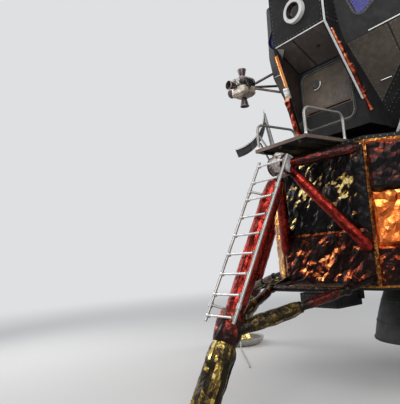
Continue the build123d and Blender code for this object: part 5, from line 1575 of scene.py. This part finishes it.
# Sides and roof of the cabin: thin black sheets held off the pressure cabin and
# riveted round their edges, as in front.
side_sheets = [([(-0.415, -0.690, 5.740), (0.415, -0.690, 5.740), (0.415, -1.295, 5.740),
                 (-0.415, -1.295, 5.740)], (0, 0, 1)),
               ([(-0.615, -0.690, 3.400), (0.615, -0.690, 3.400), (0.615, -1.145, 3.400),
                 (0.429, -1.295, 3.400), (-0.429, -1.295, 3.400), (-0.615, -1.145, 3.400)], (0, 0, -1)),
               ([(-0.425, -0.690, 5.7375), (-0.425, -1.705, 5.7375), (-0.825, -1.850, 5.483),
                 (-0.825, -0.690, 5.483)], (-0.54, 0, 0.84))]
for x_from, x_to, y_from, y_to in (
    (0.425, 0.825, -0.690, -0.985), (0.425, 0.520, -0.992, -1.370), (0.722, 0.825, -0.992, -1.370),
    (0.425, 0.825, -1.377, -1.700),
):
    side_sheets.append(([on_roof(x, y, 0.0005) for x, y in (
        (x_from, y_from), (x_to, y_from), (x_to, y_to), (x_from, y_to),
    )], roof_out))
for side in (-1, 1):
    side_sheets += mirrored(side, [
        ([(1.168, -0.690, 4.255), (1.168, -0.690, 4.945), (1.168, -1.295, 4.945),
          (1.168, -1.295, 4.351), (1.168, -1.237, 4.255)], (1, 0, 0)),
        ([(1.165, -0.690, 4.955), (0.833, -0.690, 5.476), (0.833, -1.295, 5.476),
          (1.165, -1.295, 4.955)], (0.84, 0, 0.54)),
        ([(1.002, -0.690, 3.755), (1.167, -0.690, 4.246), (1.167, -1.236, 4.246),
          (1.002, -1.064, 3.755)], (0.95, 0, -0.32)),
        ([(0.624, -0.690, 3.404), (0.997, -0.690, 3.747), (0.997, -1.063, 3.747),
          (0.624, -1.149, 3.404)], (0.68, 0, -0.74)),
        ([(0.559, -1.300, 3.567), (0.429, -1.300, 3.400), (0.620, -1.147, 3.400),
          (1.000, -1.060, 3.750), (1.168, -1.237, 4.250), (1.168, -1.300, 4.351)],
         (0.5624, -0.7019, -0.4371)),
    ])
dress(joined(panels(side_sheets, 0.004, 0.006), "cabin_side_sheets"), nose_black)
shell_rivets = joined(edge_rivets(side_sheets, 0.024, pitch=0.060, radius=0.0045), "cabin_side_rivets")
dress(shell_rivets, grey_sheet)


# Midsection, tank bays and aft bay: flat sheets cut at the frame's stations. A copy of
# each body's outer faces is parted at the seams, shrunk and thickened, so that a thin
# dark gap is left round every sheet, and each sheet has its own tone.
def merged_copy(name, node):
    """Copy of one of the frame's own solids, its vertices merged and nothing selected."""
    piece = bpy.data.objects.new(name, cad_nodes[node].data.copy())
    bpy.context.collection.objects.link(piece)
    pick(piece)
    edit_all("FACE")
    bpy.ops.mesh.remove_doubles(threshold=0.00005)
    bpy.ops.mesh.select_all(action="DESELECT")
    bpy.ops.object.mode_set(mode="OBJECT")
    return piece


def panelled(name, node, cuts, chosen, gap=0.005, proud=0.004, pitch=0.075):
    """Sheets over the chosen faces of a body, cut at planes, with rivets round each."""
    piece = merged_copy(name, node)
    for face in piece.data.polygons:
        face.select = not chosen(face.center, face.normal)
    bpy.ops.object.mode_set(mode="EDIT")
    bpy.ops.mesh.delete(type="FACE")
    bpy.ops.mesh.select_all(action="SELECT")
    bpy.ops.mesh.dissolve_limited(angle_limit=math.radians(1))
    for point, normal in cuts:
        bpy.ops.mesh.select_all(action="SELECT")
        bpy.ops.mesh.bisect(plane_co=point, plane_no=normal)
    bpy.ops.mesh.select_mode(type="FACE")
    bpy.ops.mesh.select_all(action="SELECT")
    bpy.ops.mesh.inset(thickness=gap, use_individual=True)
    bpy.ops.mesh.select_all(action="INVERT")
    bpy.ops.mesh.delete(type="FACE")
    bpy.ops.object.mode_set(mode="OBJECT")
    tone = piece.data.attributes.new("sheet_tone", "FLOAT", "FACE")
    rows = []
    for face in piece.data.polygons:
        tone.data[face.index].value = (face.index * 0.37) % 1.0
        corners = [piece.data.vertices[index].co.copy() for index in face.vertices]
        rows += along_edges(corners, face.normal, 0.024, pitch=pitch, radius=0.0055, lift=proud)
    thicken(piece, proud)
    soften(piece, 0.0015)
    finish_modifiers(piece)
    return piece, joined(rows, name + "_rivets")


skin_grey = sheet_metal("skin_grey", [
    (0.0, (0.16, 0.155, 0.148)), (0.5, (0.27, 0.262, 0.25)), (1.0, (0.40, 0.39, 0.375)),
], 0.65, (0.34, 0.56), ripple=0.006, sheets=0.45)
skin_silver = sheet_metal("skin_silver", [
    (0.0, (0.30, 0.292, 0.28)), (0.5, (0.45, 0.44, 0.425)), (1.0, (0.60, 0.59, 0.575)),
], 0.8, (0.26, 0.48), ripple=0.007, sheets=0.35)
coat(nose_black, "midsection", "aft_bay", "tank_bay_left", "tank_bay_right")
level, across, along = Vector((0, 0, 1)), Vector((1, 0, 0)), Vector((0, 1, 0))
mid_sheets, mid_rivets = panelled(
    "midsection_sheets", "midsection",
    [(Vector((0, 0, 0)), along), (Vector((0, 0, 4.545)), level)],
    lambda centre, normal: abs(normal.x) > 0.6 and centre.x * normal.x > 0.5,
)
dress(mid_sheets, skin_grey)
dress(mid_rivets, grey_sheet)
for side, label, outer in ((1, "left", 1.811), (-1, "right", 1.229)):
    sheets, rivets = panelled(
        "tank_sheets_" + label, "tank_bay_" + label,
        [(Vector((side * outer, 0, 0)), across), (Vector((0, 0, 3.912)), level), (Vector((0, 0, 0)), along)],
        lambda centre, normal: normal.x * side > -0.5,
    )
    dress(sheets, skin_silver)
    dress(rivets, grey_sheet)
aft_sheets, aft_rivets = panelled(
    "aft_bay_sheets", "aft_bay",
    [(Vector((0, 1.23, 0)), along), (Vector((0, 0, 4.48)), level), (Vector((-0.34, 0, 0)), across),
     (Vector((0.34, 0, 0)), across)],
    lambda centre, normal: normal.y > -0.5,
)
dress(aft_sheets, skin_grey)
dress(aft_rivets, grey_sheet)

# Thruster clusters: housings under crinkled dark film, with painted pale glints on
# the facets that face up, and a loose cream cover on the lower half; bare nozzles
# browned by heat and rolled at the lip.
quad_film = crumpled_film("quad_film", [
    (0.0, (0.010, 0.009, 0.009)),
    (0.48, (0.035, 0.030, 0.028)),
    (0.68, (0.22, 0.19, 0.17)),
    (0.88, (0.70, 0.66, 0.61)),
], rough=(0.25, 0.5), crease=26.0, metallic=0.7, depth=0.008, glint_share=0.6)
cream_film = crumpled_film("cream_film", [
    (0.0, (0.13, 0.095, 0.070)),
    (0.45, (0.50, 0.42, 0.34)),
    (1.0, (0.86, 0.80, 0.70)),
], rough=(0.35, 0.6), crease=22.0, metallic=0.2, depth=0.008, glint_share=0.5)
nozzle_metal = sheet_metal("nozzle_metal", [
    (0.0, (0.045, 0.030, 0.030)), (0.5, (0.10, 0.072, 0.068)), (1.0, (0.21, 0.17, 0.16)),
], 0.75, (0.30, 0.52), ripple=0.0008)
coat(nozzle_metal, "rcs_quad_front_left", "rcs_quad_rear_left", "rcs_quad_rear_right", "rcs_quad_front_right")
quad_centre, quad_half, nozzle_reach, nozzle_exit = Vector((1.676, -1.676, 4.64)), 0.125, 0.314, 0.072
other_quads = [("rear_left", 90), ("rear_right", 180), ("front_right", 270)]
bpy.ops.mesh.primitive_cube_add(size=2 * quad_half + 0.008, location=quad_centre)
quad_cover = bpy.context.object
quad_cover.name = "quad_cover_front_left"
bpy.ops.object.mode_set(mode="EDIT")
bpy.ops.mesh.select_all(action="SELECT")
bpy.ops.mesh.bevel(offset=0.030, affect="EDGES")
bpy.ops.mesh.select_all(action="SELECT")
bpy.ops.mesh.subdivide(number_cuts=8)
bpy.ops.object.mode_set(mode="OBJECT")
settle(quad_cover)
crumple(quad_cover, 0.014, -0.020, -0.012, "", 0.55)
# Painted glints on the facets that face up.
paint_glints(quad_cover, (0.3, -0.4, 1.0), 0.9)
dress(quad_cover, quad_film)
quad_cover.data.materials.append(cream_film)
for face in quad_cover.data.polygons:
    if face.center.z < quad_centre.z - 0.035 + 0.03 * math.sin(40 * face.center.x + 25 * face.center.y):
        face.material_index = 1
copied_round(quad_cover, "quad_cover", other_quads)
lips = []
for axis in ((0, 0, 1), (0, 0, -1), (1, 0, 0), (0, -1, 0)):
    lips.append(turned_ring("lip", [
        (nozzle_exit - 0.004, nozzle_reach - 0.012), (nozzle_exit + 0.002, nozzle_reach - 0.012),
        (nozzle_exit + 0.004, nozzle_reach - 0.004), (nozzle_exit + 0.001, nozzle_reach + 0.001),
        (nozzle_exit - 0.006, nozzle_reach + 0.001),
    ], 28, quad_centre, axis))
    lips.append(turned_ring("lip", [
        (0.026, quad_half + 0.010), (0.040, quad_half + 0.010), (0.040, quad_half + 0.018),
        (0.028, quad_half + 0.022),
    ], 20, quad_centre, axis))
nozzle_lips = joined(lips, "nozzle_lips_front_left")
dress(nozzle_lips, titanium)
copied_round(nozzle_lips, "nozzle_lips", other_quads)


# Plume deflectors: curved black sheets, open towards the nozzles above, clipped to
# bare grey tubes. The sheets' outer skin is a thin copy laid over both faces.
tube_grey = sheet_metal("tube_grey", [
    (0.0, (0.19, 0.185, 0.18)), (0.5, (0.28, 0.275, 0.265)), (1.0, (0.40, 0.395, 0.385)),
], 0.65, (0.35, 0.55), ripple=0.0008)
coat(tube_grey, "plume_deflectors")
deflector_skin = merged_copy("deflector_skins", "plume_deflectors")
places = [corner.co for corner in deflector_skin.data.vertices]
for face in deflector_skin.data.polygons:
    runs = [places[end] - places[start] for start, end in face.edge_keys]
    face.select = not any(run.length > 0.5 and abs(run.z) < 0.01 for run in runs)
bpy.ops.object.mode_set(mode="EDIT")
bpy.ops.mesh.delete(type="FACE")
bpy.ops.object.mode_set(mode="OBJECT")
thicken(deflector_skin, 0.0025)
finish_modifiers(deflector_skin)
bpy.ops.object.shade_smooth_by_angle(angle=math.radians(30))
dress(deflector_skin, nose_black)

# Top of the cabin: bare tunnel with a machined docking ring and twelve latch pads, a
# drogue cone inside, and the overhead hatch below it.
coat(skin_silver, "docking_tunnel")
coat(titanium, "docking_drogue", "interstage_fittings")
coat(hatch_olive_shaded, "overhead_hatch")
ring_low = 6.083
ring_profile = [
    (0.409, -0.001), (0.409, 0.006), (0.424, 0.006), (0.426, 0.002), (0.440, 0.002), (0.442, 0.008),
    (0.486, 0.008), (0.493, 0.002), (0.494, -0.050), (0.488, -0.052), (0.488, -0.001),
]
docking_ring = turned_ring(
    "docking_ring", [(radius, ring_low + height) for radius, height in ring_profile], 72,
)
dress(docking_ring, brushed_metal)
bpy.ops.mesh.primitive_cube_add(size=1, location=(0.464, 0, ring_low + 0.014))
latch = bpy.context.object
latch.scale = (0.030, 0.064, 0.014)
settle(latch)
for face in latch.data.polygons:
    face.select = face.normal.z > 0.9
bpy.ops.object.mode_set(mode="EDIT")
bpy.ops.mesh.select_mode(type="FACE")
bpy.ops.mesh.inset(thickness=0.006)
bpy.ops.mesh.extrude_region_move(TRANSFORM_OT_translate={"value": (0, 0, 0.006)})
bpy.ops.object.mode_set(mode="OBJECT")
edge = latch.modifiers.new("edge", "BEVEL")
edge.width = 0.0015
edge.segments = 2
finish_modifiers(latch)
latches = [latch]
for step in range(1, 12):
    twin = bpy.data.objects.new("latch", latch.data.copy())
    twin.data.transform(Matrix.Rotation(math.radians(30 * step), 4, "Z"))
    bpy.context.collection.objects.link(twin)
    latches.append(twin)
docking_latches = joined(latches, "docking_latches")
dress(docking_latches, rail_metal)


# Rendezvous radar and steerable antenna: spun bowls painted white, each stiffened by
# a rolled rim and ribs behind, with four thin rods that steady the feed in front.
dish_white = sheet_metal("dish_white", [
    (0.0, (0.46, 0.455, 0.44)), (0.5, (0.60, 0.595, 0.58)), (1.0, (0.72, 0.715, 0.70)),
], 0.1, (0.42, 0.62), ripple=0.0003)
coat(dish_white, "radar_dish", "s_band_dish")
coat(tube_grey, "radar_shaft", "radar_pedestal", "s_band_mast", "s_band_yoke")


rib_outline = [(0.35, 0.0), (0.65, 0.0), (0.97, 0.0), (0.97, 0.006), (0.65, 0.014), (0.35, 0.018)]


def dish_trim(name, place, radius, depth, back, feed, body):
    """Rim, ribs and feed rods of a bowl that opens along its place's own Z."""
    centre, axis = place.translation, (place.to_3x3() @ Vector((0, 0, 1)))
    rim = back + depth - 0.001
    parts = [turned_ring(name, [
        (radius - 0.006 + 0.006 * math.cos(step), rim + 0.006 * math.sin(step))
        for step in [math.radians(60 * corner) for corner in range(6)]
    ], 64, centre, axis)]
    for step in range(4):
        heading = heading_at(45 + 90 * step)
        parts.append(bar(
            place @ (heading * (radius - 0.006) + Vector((0, 0, rim))),
            place @ (heading * 0.040 + Vector((0, 0, feed))), 0.004,
        ))
    for step in range(12):
        heading = heading_at(15 + 30 * step)
        sideways = Vector((-heading.y, heading.x, 0))
        corners = []
        for reach, drop in rib_outline:
            height = back + depth * reach * reach - drop - 0.001
            corners.append(place @ (heading * radius * reach + Vector((0, 0, height)) - sideways * 0.0015))
        parts.append(sheet_panel(corners, place.to_3x3() @ sideways, 0.003, 0.0))
    dress(joined(parts, name), dish_white, body)


dish_trim(
    "radar_dish_trim",
    Matrix.Translation((0, -1.42, 6.21)) @ Matrix.Rotation(math.radians(-35), 4, "X")
    @ Matrix.Translation((0, -0.12, 0)) @ Matrix.Rotation(math.radians(90), 4, "X"),
    0.305, 0.110, 0.085, 0.240, "radar_dish",
)
dish_trim(
    "s_band_dish_trim",
    Matrix.Translation((-0.82, -1.01, 6.622)) @ Matrix.Rotation(math.radians(50), 4, "X"),
    0.330, 0.095, 0.0715, 0.225, "s_band_dish",
)
# Bare collars at the foot of the radar's post and of the antenna's mast.
collars = []
for centre, radius in (((0, -1.30, 5.742), 0.090), ((-0.82, -1.01, 6.352), 0.045)):
    collars.append(turned_ring("collar", [
        (radius - 0.002, 0.0), (radius + 0.022, 0.0), (radius + 0.020, 0.008), (radius + 0.006, 0.012),
        (radius - 0.002, 0.012),
    ], 36, centre))
post_collars = joined(collars, "post_collars")
dress(post_collars, brushed_metal)


# Tracking light on the nose: a turned housing painted pale, with a dark domed glass
# lens held by a thin bezel.
coat(pale_paint, "tracking_light")
lens_dark = sheet_metal("lens_dark", [
    (0.0, (0.006, 0.004, 0.004)), (0.5, (0.014, 0.008, 0.007)), (1.0, (0.035, 0.020, 0.016)),
], 0.0, (0.10, 0.22), ripple=0.0004)
lens = turned_ring("tracking_light_lens", [
    (0.0006, 0.018), (0.040, 0.016), (0.070, 0.011), (0.094, 0.003), (0.094, -0.0005), (0.0006, -0.0005),
], 40, (0, -2.2205, 4.98), (0, -1, 0))
dress(lens, lens_dark)
bezel = turned_ring("tracking_light_bezel", [
    (0.090, -0.030), (0.094, 0.0015), (0.108, 0.0015), (0.109, -0.0005), (0.0945, -0.0005), (0.0935, -0.030),
], 48, (0, -2.260, 4.98), (0, -1, 0))
dress(bezel, lens_dark)


# Instrument panel under the windows, facing into the cabin: grey boards with round
# dials.
board_grey = sheet_metal("board_grey", [
    (0.0, (0.085, 0.090, 0.092)), (0.5, (0.13, 0.137, 0.14)), (1.0, (0.19, 0.198, 0.20)),
], 0.2, (0.45, 0.65), ripple=0.001)
coat(board_grey, "instrument_panel")


board_reach, board_lean, board_foot, board_height = -1.553, 0.075, 4.45, 0.78


def on_board(x, z):
    """Point on the panel's inner face."""
    return Vector((x, board_reach - board_lean * (z - board_foot) / board_height, z))


board_out = Vector((0, 0.9954, 0.0957))
boards, dials = [], []
for left, right_end in ((-0.395, -0.140), (-0.130, 0.130), (0.140, 0.395)):
    boards.append(sheet_panel([
        on_board(left, 4.47), on_board(right_end, 4.47), on_board(right_end, 5.21), on_board(left, 5.21),
    ], board_out, 0.004, 0.002))
    for column in (0.25, 0.75):
        for height in (4.60, 4.76, 4.92, 5.08):
            dials.append(turned_ring("dial", [
                (0.0006, 0.003), (0.030, 0.003), (0.033, 0.009), (0.038, 0.008), (0.040, 0.0), (0.0006, 0.0),
            ], 20, on_board(left + (right_end - left) * column, height) + board_out * 0.004, board_out))
panel_boards = joined(boards, "panel_boards")
dress(panel_boards, board_grey)
panel_dials = joined(dials, "panel_dials")
dress(panel_dials, rubber)


for spare in (creases_up, creases_down, creases_along, rivet_head):
    bpy.data.objects.remove(spare)
